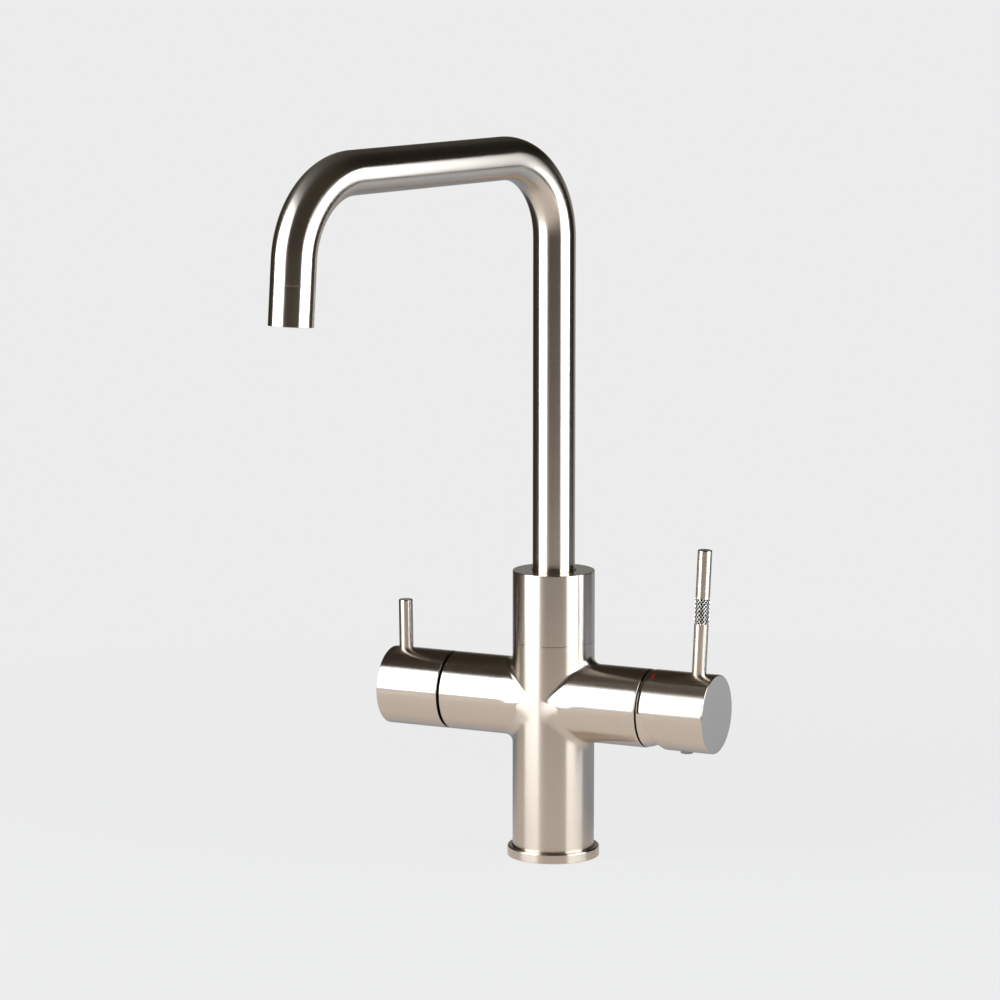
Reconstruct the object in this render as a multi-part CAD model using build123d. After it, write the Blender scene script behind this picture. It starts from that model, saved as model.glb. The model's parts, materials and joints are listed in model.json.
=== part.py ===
from build123d import *
import os
from math import cos, radians, sin, sqrt, tan

# A boiling water tap: a column with a cross bar, a mixer knob on the right, a boiling water
# knob on the left and a swivelling spout. Lengths are in millimetres, angles in degrees.
# The origin is the centre of the foot, on the worktop. +Z is up, the cross bar lies along X
# with the boiling water knob at -X, and the front of the tap faces -Y.

# Fits
running_clearance = 0.05      # radial gap of a piece that turns or slides in a bore
assembly_clearance = 0.05     # radial gap of a piece that is pushed or screwed home
thrust_clearance = 0.05       # axial gap between two faces that slide on each other
sweep_clearance = 0.3         # gap between curved faces that pass each other freely

# Column and foot
column_radius = 23.0
column_wall = 3.0
collar_height = 39.7          # collar above the seam
flange_radius = 26.0
flange_height = 5.6
flange_lip = 1.6              # thin floor of the flange that the column stands on
flange_edge = 0.5
foot_gap = 0.4                # shadow gap between the flange and the column
gasket_width = 1.3
gasket_depth = 1.2

# Cross bar
bar_height = 89.0             # centre line of the bar above the worktop
bar_radius = 22.0
cast_fillet = 4.5             # fillet between the bar and the column
shoulder_height = 12.0        # plain column between the bar and the hairline seam
block_cover = 1.0             # solid metal starts this far below the bar
right_barrel_reach = 58.9     # from the column's axis
left_barrel_reach = 61.3
barrel_edge = 0.5

# Inlets and waterways
insert_height = 22.0
port_circle = 10.5            # radius of the circle that the three inlets lie on
port_radius = 4.5             # M10 x 1 tapping size
port_depth = 12.0
stud_radius = 3.4             # M8 tapping size
stud_depth = 16.0
channel_radius = 2.5
channel_wall = 1.5            # least metal beside a drilled waterway
pipe_radius = 4.5
pipe_wall = 1.0
pipe_engagement = 6.0
inlet_spread = 6.5            # hot and cold lie this far to either side of the middle
inlet_rise = 5.0              # hot and cold meet the cartridge this far above the bar's axis
outlet_drop = 9.0             # mixed water leaves the cartridge this far below it
outlet_riser_reach = 12.0     # channel that takes mixed water up to the spout

# Seals
seal_section = 0.9            # section radius of the round seal rings
seal_squeeze = 0.05           # gap left where the real ring is squeezed

# Spout swivel
socket_radius = 15.0
socket_depth = 13.0
foot_lift = 1.0               # water space under the spout's foot
foot_waterway = 8.0
foot_sleeve_height = 12.0
thrust_width = 2.5            # how far the foot's thrust flange stands out
thrust_height = 3.4
slip_thickness = 1.2
spigot_wall = 2.2             # screw spigot that the collar screws on
bush_wall = 2.6
bush_height = 12.0
collar_gap = 0.7              # dark ring round the tube
collar_roof = 4.5
collar_edge = 0.3

# Spout
tube_radius = 11.85
tube_wall = 1.2
spout_angle = 13.3            # turned from straight ahead towards the boiling water knob
arm_height = 395.1            # axis of the arm where it would cross the riser's axis
arm_fall = 0.57
arm_length = 211.5            # between the crossings of the centre lines
bend_radius = 46.0
drop_lean = 4.6               # outlet leans away from the column
drop_length = 75.8
boiling_tube_radius = 4.0
boiling_tube_wall = 1.0

# Outlet, heights measured up the drop from its end face
sleeve_height = 21.0          # end sleeve below the fine seam
sleeve_wall = 1.65
sleeve_spigot_height = 6.0
sleeve_spigot_wall = 2.0
aerator_wall = 1.6
aerator_height = 12.0
aerator_seal_height = 1.6
aerator_recess = 0.8
web_start = 8.6
web_thickness = 2.0
nozzle_radius = 3.5
nozzle_bore = 2.2
nozzle_collar_wall = 1.4
nozzle_socket_depth = 5.0
plate_start = 1.8
plate_thickness = 1.6
mesh_start = 5.0
mesh_thickness = 0.5
web_hole_radius = 1.2
plate_hole_radius = 0.6
mesh_hole_radius = 0.4

# Mixer cartridge, depths measured back from the mouth of the right barrel
cartridge_depth = 26.9
cartridge_radius = 17.5
cartridge_base_height = 5.5
shoulder_depth = 6.9
neck_radius = 14.0
neck_height = 4.8
port_seal_radius = 4.2
port_seal_height = 1.2
fixed_disc_radius = 15.0
disc_thickness = 3.5
moving_disc_thickness = 3.0
disc_rim = 1.8                # lapped rim round the pocket of the moving disc
pocket_reach = 3.3            # how far the pocket goes towards the hot and cold ports
carrier_thickness = 4.8
carrier_floor = 0.5
turret_radius = 10.5
turret_flange_radius = 13.0
turret_flange_height = 1.5
turret_proud = 1.1            # turret beyond the barrel's mouth
pivot_depth = 2.9
pivot_pin_radius = 1.5
tail_ball_radius = 2.4
tail_neck_radius = 1.6
stem_width = 8.0
stem_proud = 29.0             # stem beyond the barrel's mouth
stem_heel = 3.0               # square part of the stem behind the pivot
stem_edge = 0.8
tilt_range = 25.5             # lever from closed to fully open
thread_height = 1.5           # radial room for the screw ring outside the cartridge
nut_height = 4.5
nut_notch = 3.0
lapped_gap = 0.02             # film between the ceramic faces

# Dome cover and mixer knob
dome_inset = 0.1              # dome's sphere is this much smaller than the bar
dome_wall = 1.1
dome_opening_angle = 44.0
rim_inset = 0.3
rim_height = 1.3
rim_gap = 0.5                 # shadow gap between the barrel and the dome's rim
skirt_wall = 1.7
knob_proud = 0.05             # both knobs are this much larger than the bar
mixer_knob_gap = 2.7          # from the barrel to the knob, filled by the dome's rim
mixer_knob_length = 37.7
knob_cut_offset = 0.2         # the slanted cut leaves the bar's axis just behind the back edge
knob_edge = 0.6
grub_inset = 17.7             # from the knob's end face
grub_radius = 2.5
grub_socket = 1.25
plug_radius = 3.6
plug_seat_depth = 3.2
plug_proud = 1.3
plug_edge = 0.6
mark_width = 1.5
mark_depth = 0.4
mark_inset = 3.1              # from the knob's back edge
mark_angle = 22.5             # each mark lies this far round from the lever
mark_sweep = 14.0

# Levers
lever_radius = 4.0
lever_seat = 9.0              # depth of the rod in its knob
lever_edge = 0.5
mixer_lever_inset = 10.8      # from the knob's end face to where the rod leaves the knob
mixer_lever_lean = 2.48
mixer_lever_length = 69.4     # above the knob
knurl_start = 28.4            # above the knob
knurl_length = 14.1
knurl_proud = 0.15
boiling_lever_inset = 8.3
boiling_lever_lean = 0.84
boiling_lever_length = 27.8

# Boiling water valve
valve_seat = 24.0             # from the column's axis
valve_radius = 9.5
valve_bore = 8.0
valve_seal_height = 2.0
valve_seal_bore = 4.0
valve_disc_thickness = 2.6
valve_port_rim = 2.0
valve_port_web = 1.0
valve_chamber_height = 6.5
recess_depth = 14.3           # open recess at the mouth of the left barrel
recess_wall = 3.5
hex_flats = 24.0
hex_height = 4.0
valve_neck_radius = 7.5
valve_neck_inset = 2.3        # the neck ends this far inside the barrel's mouth
spindle_radius = 4.0
spindle_flat = 3.2            # half width across the drive flats
spindle_proud = 22.7          # spindle beyond the barrel's mouth
spindle_seal_depth = 5.0
driver_radius = 5.0
driver_height = 3.0
window_width = 4.0
clip_width = 2.0
clip_thickness = 0.8
clip_groove = 0.5

# Boiling water knob
push_travel = 1.4             # safety push towards the column
boiling_knob_length = 37.9
knob_pocket_depth = 13.0
insert_radius = 7.5
insert_inset = 1.0            # insert behind the knob's back edge
screw_head_radius = 5.0
screw_head_height = 2.4
screw_radius = 2.0
screw_length = 9.0
screw_socket = 1.5
spring_radius = 9.6           # mean radius of the coil
spring_wire_radius = 0.6
spring_turns = 6

# Places that follow from the sizes above
column_bore = column_radius - column_wall
body_height = bar_height + bar_radius + shoulder_height   # top of the cast body, at the seam
block_floor = bar_height - bar_radius - block_cover
socket_floor = body_height - socket_depth
collar_top = body_height + collar_height
tube_bore = tube_radius - tube_wall
knob_radius = bar_radius + knob_proud
port_reach = sqrt(port_circle**2 - inlet_spread**2)
hot_place = (port_reach, -inlet_spread)
cold_place = (port_reach, inlet_spread)
boiling_place = (-port_circle, 0)
inlet_level = bar_height + inlet_rise
outlet_level = bar_height - outlet_drop
boiling_rise = valve_radius + channel_wall + channel_radius
boiling_level = bar_height + boiling_rise

from_base = (Align.CENTER, Align.CENTER, Align.MIN)
from_top = (Align.CENTER, Align.CENTER, Align.MAX)

# On each side of the bar, local Z runs outwards along the bar and local X points up.
right_side = Plane(origin=(0, 0, bar_height), x_dir=(0, 0, 1), z_dir=(1, 0, 0))
left_side = Plane(origin=(0, 0, bar_height), x_dir=(0, 0, 1), z_dir=(-1, 0, 0))


def cylinder(radius, start, end, x=0, y=0):
    """A cylinder parallel to local Z between two stations."""
    return Pos(x, y, start) * Cylinder(radius, end - start, align=from_base)


def ring(outer_radius, inner_radius, start, end):
    """A ring about local Z between two stations."""
    return cylinder(outer_radius, start, end) - cylinder(inner_radius, start, end)


def turned(*profile):
    """A turned piece from its half section, as (radius, station) corners."""
    outline = Polyline(*[(radius, 0, station) for radius, station in profile], close=True)
    return revolve(make_face(outline), Axis.Z)


def seal_ring(outer_radius, station):
    """A round seal ring that all but fills its bore."""
    radius = outer_radius - seal_squeeze - seal_section
    return Pos(0, 0, station) * Torus(radius, seal_section)


def seal_groove(outer_radius, station):
    """The ring groove that a round seal sits in, cut into a shaft."""
    floor = outer_radius - 2 * seal_section - 2 * seal_squeeze
    half_width = seal_section + seal_squeeze
    return ring(outer_radius + 1, floor, station - half_width, station + half_width)


def drilled(start, end):
    """A drilled waterway between two points, carried a little past its end."""
    way = Vector(*end) - Vector(*start)
    place = Plane(origin=start, z_dir=way.normalized())
    return place * Cylinder(channel_radius, way.length + channel_radius, align=from_base)


def hex_socket(flat_radius, top, depth):
    """A hexagon socket sunk from a top face."""
    return Pos(0, 0, top) * extrude(RegularPolygon(flat_radius, 6, major_radius=False), amount=-depth)


# Foot of the tap
insert_plug_radius = column_bore - assembly_clearance
gasket_middle = (flange_radius + column_radius + foot_gap) / 2
gasket_outer = gasket_middle + gasket_width / 2
gasket_inner = gasket_middle - gasket_width / 2
pipe_start = insert_height - pipe_engagement / 2
pipe_end = block_floor + pipe_engagement


def base_flange():
    """Trim flange: an outer ring with a thin lip under the column."""
    bore = column_radius + foot_gap
    lip_bore = column_bore + assembly_clearance
    body = turned(
        (lip_bore, 0), (flange_radius, 0), (flange_radius, flange_height - flange_edge),
        (flange_radius - flange_edge, flange_height), (bore, flange_height),
        (bore, flange_lip), (lip_bore, flange_lip),
    )
    return body - base_gasket()


def base_gasket():
    """Soft ring that seals the flange to the worktop, shown squeezed flush."""
    return ring(gasket_outer, gasket_inner, 0, gasket_depth)


def base_insert():
    """Plug that closes the column and carries the three inlets and the fixing stud."""
    plug = cylinder(insert_plug_radius, 0, insert_height) - cylinder(stud_radius, 0, stud_depth)
    for x, y in (hot_place, cold_place, boiling_place):
        plug -= cylinder(port_radius, 0, port_depth, x, y)
        plug -= cylinder(channel_radius, 0, insert_height, x, y)
        plug -= cylinder(pipe_radius + assembly_clearance, pipe_start, insert_height, x, y)
    return plug - seal_groove(insert_plug_radius, insert_height / 2)


def insert_seal():
    """Seal ring round the plug."""
    return seal_ring(insert_plug_radius, insert_height / 2)


def supply_pipe(place):
    """Straight pipe from the plug in the foot to the solid block behind the bar."""
    return Pos(*place, 0) * ring(pipe_radius, pipe_radius - pipe_wall, pipe_start, pipe_end)


# Stations of the spout's swivel, up the column
foot_bottom = socket_floor + foot_lift
foot_radius = socket_radius - running_clearance
foot_seal_stations = (foot_bottom + 3 * seal_section, foot_bottom + 8 * seal_section)
thrust_radius = socket_radius + thrust_width
thrust_floor = body_height + slip_thickness + thrust_clearance
thrust_top = thrust_floor + thrust_height
spigot_bore = thrust_radius + sweep_clearance
spigot_radius = spigot_bore + spigot_wall
spigot_top = thrust_top + thrust_clearance + slip_thickness
collar_bore = tube_radius + bush_wall
roof_station = collar_top - collar_roof
centre_hole_radius = boiling_tube_radius + 2 * running_clearance
centre_seal_station = boiling_level + channel_radius + 2 * seal_section
boiling_tube_foot = boiling_level + channel_radius

# Stations of the mixer cartridge, along the bar
cartridge_seat = right_barrel_reach - cartridge_depth
shoulder = right_barrel_reach - shoulder_depth
pivot_reach = right_barrel_reach - pivot_depth
turret_top = right_barrel_reach + turret_proud
stem_end = right_barrel_reach + stem_proud
mouth_radius = cartridge_radius + thread_height
port_places = ((inlet_rise, inlet_spread), (inlet_rise, -inlet_spread), (-outlet_drop, 0))
fixed_disc_start = cartridge_seat + cartridge_base_height
fixed_disc_end = fixed_disc_start + disc_thickness
moving_disc_start = fixed_disc_end + lapped_gap
carrier_start = moving_disc_start + moving_disc_thickness
carrier_end = carrier_start + carrier_thickness
turret_start = carrier_end + sweep_clearance
turret_flange_end = turret_start + turret_flange_height
ball_station = carrier_start + carrier_floor + sweep_clearance + tail_ball_radius
tail_length = pivot_reach - ball_station
disc_travel = tail_length * sin(radians(tilt_range))
disc_offset = -disc_travel / 2          # the moving disc starts low and rises as the tap opens
housing_bore = fixed_disc_radius + 2 * assembly_clearance
moving_disc_radius = housing_bore - disc_travel / 2 - 2 * sweep_clearance
nut_end = shoulder + nut_height

# Stations of the boiling water valve, along the bar
valve_body_start = valve_seat + valve_seal_height
valve_fixed_end = valve_body_start + valve_disc_thickness
valve_moving_start = valve_fixed_end + lapped_gap
valve_moving_end = valve_moving_start + valve_disc_thickness
driver_end = valve_moving_end + driver_height
chamber_start = driver_end - valve_chamber_height
recess_floor = left_barrel_reach - recess_depth
recess_radius = bar_radius - recess_wall
hex_end = recess_floor + hex_height
valve_top = left_barrel_reach - valve_neck_inset
spindle_end = left_barrel_reach + spindle_proud
clip_start = valve_top + thrust_clearance
clip_end = clip_start + clip_thickness


# Cast body
def barrel(reach):
    """Outside of one barrel of the cross bar."""
    return turned(
        (0, 0), (bar_radius, 0), (bar_radius, reach - barrel_edge),
        (bar_radius - barrel_edge, reach), (0, reach),
    )


def body_blank():
    """Outside of the casting, with fillets where the barrels grow out of the column."""
    blank = cylinder(column_radius, flange_lip, body_height)
    blank += right_side * barrel(right_barrel_reach)
    blank += left_side * barrel(left_barrel_reach)
    plain = (GeomType.CIRCLE, GeomType.LINE)
    seams = [edge for edge in blank.edges() if edge.geom_type not in plain]
    return fillet(seams, cast_fillet)


def column_bores():
    """Bore of the column, socket of the spout and hole of the boiling water tube."""
    bores = cylinder(column_bore, flange_lip, block_floor)
    bores += cylinder(socket_radius, socket_floor, body_height)
    bores += cylinder(centre_hole_radius, boiling_level - channel_radius, body_height)
    groove_radius = centre_hole_radius + 2 * seal_section + seal_squeeze
    half_width = seal_section + seal_squeeze
    bores += cylinder(groove_radius, centre_seal_station - half_width, centre_seal_station + half_width)
    for x, y in (hot_place, cold_place, boiling_place):
        bores += cylinder(pipe_radius + assembly_clearance, block_floor, pipe_end, x, y)
    return bores


def barrel_bores():
    """Bores of the two barrels for the cartridge and the boiling water valve."""
    bores = right_side * cylinder(cartridge_radius + assembly_clearance, cartridge_seat, right_barrel_reach)
    bores += right_side * cylinder(mouth_radius, shoulder, right_barrel_reach)
    bores += left_side * cylinder(valve_radius + assembly_clearance, valve_seat, left_barrel_reach)
    bores += left_side * cylinder(boiling_rise + channel_wall, chamber_start, driver_end)
    return bores + left_side * cylinder(recess_radius, recess_floor, left_barrel_reach)


def body_channels():
    """Drilled waterways between the pipes, the two valves and the spout."""
    ways = Part()
    for x, y in (hot_place, cold_place):
        ways += drilled((x, y, block_floor), (x, y, inlet_level))
        ways += drilled((cartridge_seat, y, inlet_level), (x, y, inlet_level))
    ways += drilled((cartridge_seat, 0, outlet_level), (outlet_riser_reach, 0, outlet_level))
    ways += drilled((outlet_riser_reach, 0, socket_floor), (outlet_riser_reach, 0, outlet_level))
    x, y = boiling_place
    ways += drilled((x, y, block_floor), (x, y, bar_height))
    ways += drilled((-valve_seat, 0, bar_height), (x, y, bar_height))
    chamber_middle = (chamber_start + driver_end) / 2
    return ways + drilled((-chamber_middle, 0, boiling_level), (0, 0, boiling_level))


def tap_body():
    """Casting with its column foot, cross bar, bores, waterways and screw spigot."""
    spigot = ring(spigot_radius, spigot_bore, body_height, spigot_top)
    return body_blank() - column_bores() - barrel_bores() - body_channels() + spigot


# Spout swivel
def slip_washer():
    """Low friction washer between the casting and the spout's foot."""
    return ring(thrust_radius, socket_radius + sweep_clearance, body_height, body_height + slip_thickness)


def spout_foot():
    """Turned foot brazed into the riser, with two seal grooves and a thrust flange."""
    sleeve_radius = tube_bore - assembly_clearance
    sleeve_end = thrust_top + foot_sleeve_height
    foot = turned(
        (foot_waterway, foot_bottom), (foot_radius, foot_bottom), (foot_radius, thrust_floor),
        (thrust_radius, thrust_floor), (thrust_radius, thrust_top), (sleeve_radius, thrust_top),
        (sleeve_radius, sleeve_end), (foot_waterway, sleeve_end),
    )
    for station in foot_seal_stations:
        foot -= seal_groove(foot_radius, station)
    return foot


def foot_seals():
    """Two seal rings on the spout's foot."""
    return [seal_ring(foot_radius, station) for station in foot_seal_stations]


def slip_ring():
    """Low friction ring between the thrust flange and the collar's shoulder."""
    return ring(thrust_radius, tube_radius + sweep_clearance, spigot_top - slip_thickness, spigot_top)


def spout_collar():
    """Collar that screws on the casting and holds the spout's foot down."""
    thread_bore = spigot_radius + assembly_clearance
    mouth = tube_radius + collar_gap
    return turned(
        (thread_bore, body_height), (column_radius, body_height), (column_radius, collar_top - collar_edge),
        (column_radius - collar_edge, collar_top), (mouth, collar_top), (mouth, roof_station),
        (collar_bore, roof_station), (collar_bore, spigot_top), (thread_bore, spigot_top),
    )


def swivel_bush():
    """Plastic bush that steadies the riser in the collar."""
    outer = collar_bore - assembly_clearance
    return ring(outer, tube_radius + 2 * running_clearance, roof_station - bush_height, roof_station)


def centre_seal():
    """Seal ring round the foot of the boiling water tube."""
    radius = boiling_tube_radius + running_clearance + seal_section
    return Pos(0, 0, centre_seal_station) * Torus(radius, seal_section)


# Spout
swing = radians(spout_angle)
spout_heading = Vector(-sin(swing), -cos(swing), 0)
spout_plane = Plane(origin=(0, 0, 0), x_dir=spout_heading, z_dir=spout_heading.cross(Vector(0, 0, 1)))
arm_end_reach = arm_length * cos(radians(arm_fall))
arm_end_height = arm_height - arm_length * sin(radians(arm_fall))


def drop_point(height):
    """Reach and height of the point this far up the drop from its end."""
    length = drop_length - height
    reach = arm_end_reach + length * sin(radians(drop_lean))
    return reach, arm_end_height - length * cos(radians(drop_lean))


def swept_tube(radius, wall, start_height, end_height):
    """A bent tube that follows the spout's centre line between two heights at its ends."""
    corners = [(0, start_height), (0, arm_height), (arm_end_reach, arm_end_height), drop_point(end_height)]
    path = spout_plane * FilletPolyline(*corners, radius=bend_radius)
    section = Pos(0, 0, start_height) * (Circle(radius) - Circle(radius - wall))
    return sweep(section, path=path)


outlet_reach, outlet_height = drop_point(0)
lean = radians(drop_lean)
outlet_origin = spout_heading * outlet_reach + Vector(0, 0, outlet_height)
outlet_up = spout_heading * -sin(lean) + Vector(0, 0, cos(lean))
# At the outlet, local Z runs back up the drop from its end face.
outlet_plane = Plane(origin=outlet_origin, x_dir=spout_plane.z_dir, z_dir=outlet_up)
sleeve_bore = tube_radius - sleeve_wall
aerator_radius = sleeve_bore - assembly_clearance
aerator_bore = aerator_radius - aerator_wall
plate_radius = aerator_bore - assembly_clearance
plate_bore = nozzle_radius + assembly_clearance
jet_circle = (plate_radius + plate_bore) / 2
aerator_end = aerator_recess + aerator_height
nozzle_shoulder = web_start + web_thickness
nozzle_socket = nozzle_shoulder + nozzle_collar_wall
nozzle_end = nozzle_socket + nozzle_socket_depth


def spout_tube():
    """Riser, arm and drop bent from one tube."""
    return swept_tube(tube_radius, tube_wall, thrust_top, sleeve_height)


def boiling_tube():
    """Separate boiling water tube inside the spout."""
    return swept_tube(boiling_tube_radius, boiling_tube_wall, boiling_tube_foot, nozzle_socket)


def end_sleeve():
    """Flush end sleeve of the drop, which holds the aerator."""
    step = aerator_end + aerator_seal_height
    outer = tube_bore - assembly_clearance
    inner = outer - sleeve_spigot_wall
    end = sleeve_height + sleeve_spigot_height
    return outlet_plane * turned(
        (sleeve_bore, 0), (tube_radius - collar_edge, 0), (tube_radius, collar_edge),
        (tube_radius, sleeve_height), (outer, sleeve_height), (outer, end), (inner, end),
        (inner, step), (sleeve_bore, step),
    )


def holed_plate(outer, count, hole_radius, start, thickness):
    """A flat ring round the nozzle with one circle of holes."""
    plate = ring(outer, plate_bore, start, start + thickness)
    for place in PolarLocations(jet_circle, count):
        plate -= place * cylinder(hole_radius, start, start + thickness)
    return plate


def aerator_body():
    """Plastic cage of the aerator, with a web that holds the boiling water nozzle."""
    cage = ring(aerator_radius, aerator_bore, aerator_recess, aerator_end)
    web = holed_plate(aerator_bore + aerator_wall / 2, 10, web_hole_radius, web_start, web_thickness)
    return outlet_plane * (cage + web)


def jet_plate():
    """Perforated plate that the mixed water leaves through."""
    return outlet_plane * holed_plate(plate_radius, 18, plate_hole_radius, plate_start, plate_thickness)


def aerator_mesh():
    """Fine steel screen behind the jet plate."""
    return outlet_plane * holed_plate(plate_radius, 24, mesh_hole_radius, mesh_start, mesh_thickness)


def boiling_nozzle():
    """Central nozzle that the boiling water tube is pushed into."""
    socket_bore = boiling_tube_radius + assembly_clearance
    collar_radius = socket_bore + nozzle_collar_wall
    return outlet_plane * turned(
        (nozzle_bore, aerator_recess), (nozzle_radius, aerator_recess), (nozzle_radius, nozzle_shoulder),
        (collar_radius, nozzle_shoulder), (collar_radius, nozzle_end), (socket_bore, nozzle_end),
        (socket_bore, nozzle_socket), (nozzle_bore, nozzle_socket),
    )


def aerator_seal():
    """Flat seal between the aerator and the sleeve's step."""
    return outlet_plane * ring(aerator_radius, aerator_bore, aerator_end, aerator_end + aerator_seal_height)


# Mixer cartridge
def cartridge_ports(start, end):
    """Hot, cold and mixed water ports, as seen along the bar."""
    ports = Part()
    for x, y in port_places:
        ports += cylinder(channel_radius, start, end, x, y)
    return ports


def cartridge_base():
    """Plastic base of the cartridge with a seal pocket round each port."""
    base = cylinder(cartridge_radius, cartridge_seat, fixed_disc_start)
    for x, y in port_places:
        base -= cylinder(port_seal_radius, cartridge_seat, cartridge_seat + port_seal_height, x, y)
    return right_side * (base - cartridge_ports(cartridge_seat, fixed_disc_start))


def cartridge_seals():
    """Three flat port seals under the cartridge."""
    end = cartridge_seat + port_seal_height
    seal = ring(port_seal_radius - assembly_clearance, channel_radius, cartridge_seat, end)
    return [right_side * (Pos(x, y, 0) * seal) for x, y in port_places]


def fixed_disc():
    """Fixed ceramic disc."""
    disc = cylinder(fixed_disc_radius, fixed_disc_start, fixed_disc_end)
    return right_side * (disc - cartridge_ports(fixed_disc_start, fixed_disc_end))


def moving_disc():
    """Sliding ceramic disc, with the pocket that joins the ports when the tap opens."""
    pocket_radius = moving_disc_radius - disc_rim
    half_depth = moving_disc_thickness / 2
    disc = cylinder(moving_disc_radius, moving_disc_start, carrier_start)
    pocket = cylinder(pocket_radius, moving_disc_start, moving_disc_start + half_depth)
    size = 4 * pocket_radius
    beyond = Pos(pocket_reach, 0, moving_disc_start) * Box(
        size, size, size, align=(Align.MIN, Align.CENTER, Align.CENTER))
    return right_side * Pos(disc_offset, 0, 0) * (disc - (pocket - beyond))


def disc_carrier():
    """Plastic carrier that the lever's ball pushes to and fro."""
    carrier = cylinder(moving_disc_radius, carrier_start, carrier_end, disc_offset, 0)
    floor = carrier_start + carrier_floor
    return right_side * (carrier - cylinder(tail_ball_radius + sweep_clearance, floor, carrier_end))


def cartridge_housing():
    """Plastic housing that holds the discs and guides the turret."""
    neck_end = shoulder + neck_height
    flange_bore = turret_flange_radius + 2 * running_clearance
    turret_bore = turret_radius + 2 * running_clearance
    flange_end = turret_flange_end + thrust_clearance
    disc_room_end = (carrier_end + turret_start) / 2
    return right_side * turned(
        (housing_bore, fixed_disc_start), (cartridge_radius, fixed_disc_start),
        (cartridge_radius, shoulder), (neck_radius, shoulder), (neck_radius, neck_end),
        (turret_bore, neck_end), (turret_bore, flange_end), (flange_bore, flange_end),
        (flange_bore, disc_room_end), (housing_bore, disc_room_end),
    )


def slot_box(low, high, width, start, end):
    """A straight slot from a low to a high place up and down the bar's end."""
    middle = (low + high) / 2
    return Pos(middle, 0, start) * Box(high - low, width, end - start, align=from_base)


def cross_pin(radius, length):
    """A cylinder across the bar at the lever's pivot."""
    return Pos(0, 0, pivot_reach) * Rot(90, 0, 0) * Cylinder(radius, length)


def cartridge_turret():
    """Turret that turns with the knob, slotted for the stem as it tilts."""
    tilt = radians(tilt_range)
    half = stem_width / 2
    heel_drop = stem_heel * cos(tilt) + half * sin(tilt)
    heel_swing = half * cos(tilt) + stem_heel * sin(tilt)
    top_swing = (turret_top - pivot_reach) * tan(tilt) + half / cos(tilt)
    ball_swing = tail_length * sin(tilt) + tail_ball_radius
    heel_room = pivot_reach - heel_drop - sweep_clearance
    turret = cylinder(turret_radius, turret_start, turret_top)
    turret += cylinder(turret_flange_radius, turret_start, turret_flange_end)
    turret -= slot_box(-top_swing - sweep_clearance, heel_swing + sweep_clearance,
                       stem_width + 4 * running_clearance, heel_room, turret_top)
    turret -= slot_box(-tail_ball_radius - sweep_clearance, ball_swing + sweep_clearance,
                       2 * (tail_ball_radius + sweep_clearance), turret_start, heel_room)
    return right_side * (turret - cross_pin(pivot_pin_radius, 4 * turret_radius))


def pivot_pin():
    """Steel pin across the turret that the lever tilts on."""
    return right_side * cross_pin(pivot_pin_radius, 2 * turret_radius - 1)


def cartridge_stem():
    """Square lever stem with its pivot bore, tail and ball."""
    heel = pivot_reach - stem_heel
    stem = Pos(0, 0, heel) * Box(stem_width, stem_width, stem_end - heel, align=from_base)
    stem = chamfer(stem.faces().sort_by(Axis.Z)[-1].edges(), stem_edge)
    stem += cylinder(tail_neck_radius, ball_station, heel)
    stem += Pos(0, 0, ball_station) * Sphere(tail_ball_radius)
    return right_side * (stem - cross_pin(pivot_pin_radius + running_clearance, 2 * stem_width))


def cartridge_nut():
    """Screw ring that clamps the cartridge into the barrel, with four key notches."""
    outer = mouth_radius - assembly_clearance
    nut = ring(outer, neck_radius + assembly_clearance, shoulder, nut_end)
    for place in PolarLocations(outer, 4):
        nut -= place * Pos(0, 0, nut_end) * Box(nut_notch, nut_notch, nut_notch)
    return right_side * nut


# Dome cover
rim_back = right_barrel_reach + rim_gap
rim_front = rim_back + rim_height
dome_radius = bar_radius - dome_inset


def dome_ball(radius, start):
    """Part of a sphere about the lever's pivot, outwards from a station along the bar."""
    ball = Pos(0, 0, pivot_reach) * Sphere(radius)
    return ball & cylinder(radius + 1, start, pivot_reach + radius)


def dome_cover():
    """Dome over the cartridge, with its rim and screw skirt."""
    skirt_radius = mouth_radius - assembly_clearance
    opening_radius = dome_radius * sin(radians(dome_opening_angle))
    dome = dome_ball(dome_radius, rim_back) + cylinder(bar_radius - rim_inset, rim_back, rim_front)
    dome += cylinder(skirt_radius, nut_end + thrust_clearance, rim_back)
    dome -= dome_ball(dome_radius - dome_wall, rim_front)
    dome -= cylinder(skirt_radius - skirt_wall, nut_end, rim_front)
    return right_side * (dome - cylinder(opening_radius, pivot_reach, pivot_reach + dome_radius))


# Knobs and levers
mixer_knob_back = right_barrel_reach + mixer_knob_gap
mixer_knob_face = mixer_knob_back + mixer_knob_length
mixer_lever_reach = mixer_knob_face - mixer_lever_inset
grub_reach = mixer_knob_face - grub_inset
plug_floor = knob_radius - plug_seat_depth
boiling_knob_back = left_barrel_reach + push_travel + sweep_clearance
boiling_knob_face = boiling_knob_back + boiling_knob_length
boiling_lever_reach = boiling_knob_face - boiling_lever_inset
knob_pocket = boiling_knob_back + knob_pocket_depth
insert_end = spindle_end + screw_head_height + push_travel + 4 * thrust_clearance


def lever_axis(reach, lean_angle):
    """Plane at the knob's surface with local Z along the rod, in bar coordinates."""
    tilt = radians(lean_angle)
    return Plane(origin=(knob_radius, 0, reach), x_dir=(sin(tilt), 0, -cos(tilt)),
                 z_dir=(cos(tilt), 0, sin(tilt)))


def lever_rod(length):
    """Plain rod with a small chamfer at its tip."""
    return turned(
        (0, -lever_seat), (lever_radius, -lever_seat), (lever_radius, length - lever_edge),
        (lever_radius - lever_edge, length), (0, length),
    )


def lever_hole():
    """Hole in the knob that the rod is fixed in."""
    return cylinder(lever_radius + assembly_clearance, -lever_seat, lever_radius)


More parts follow.
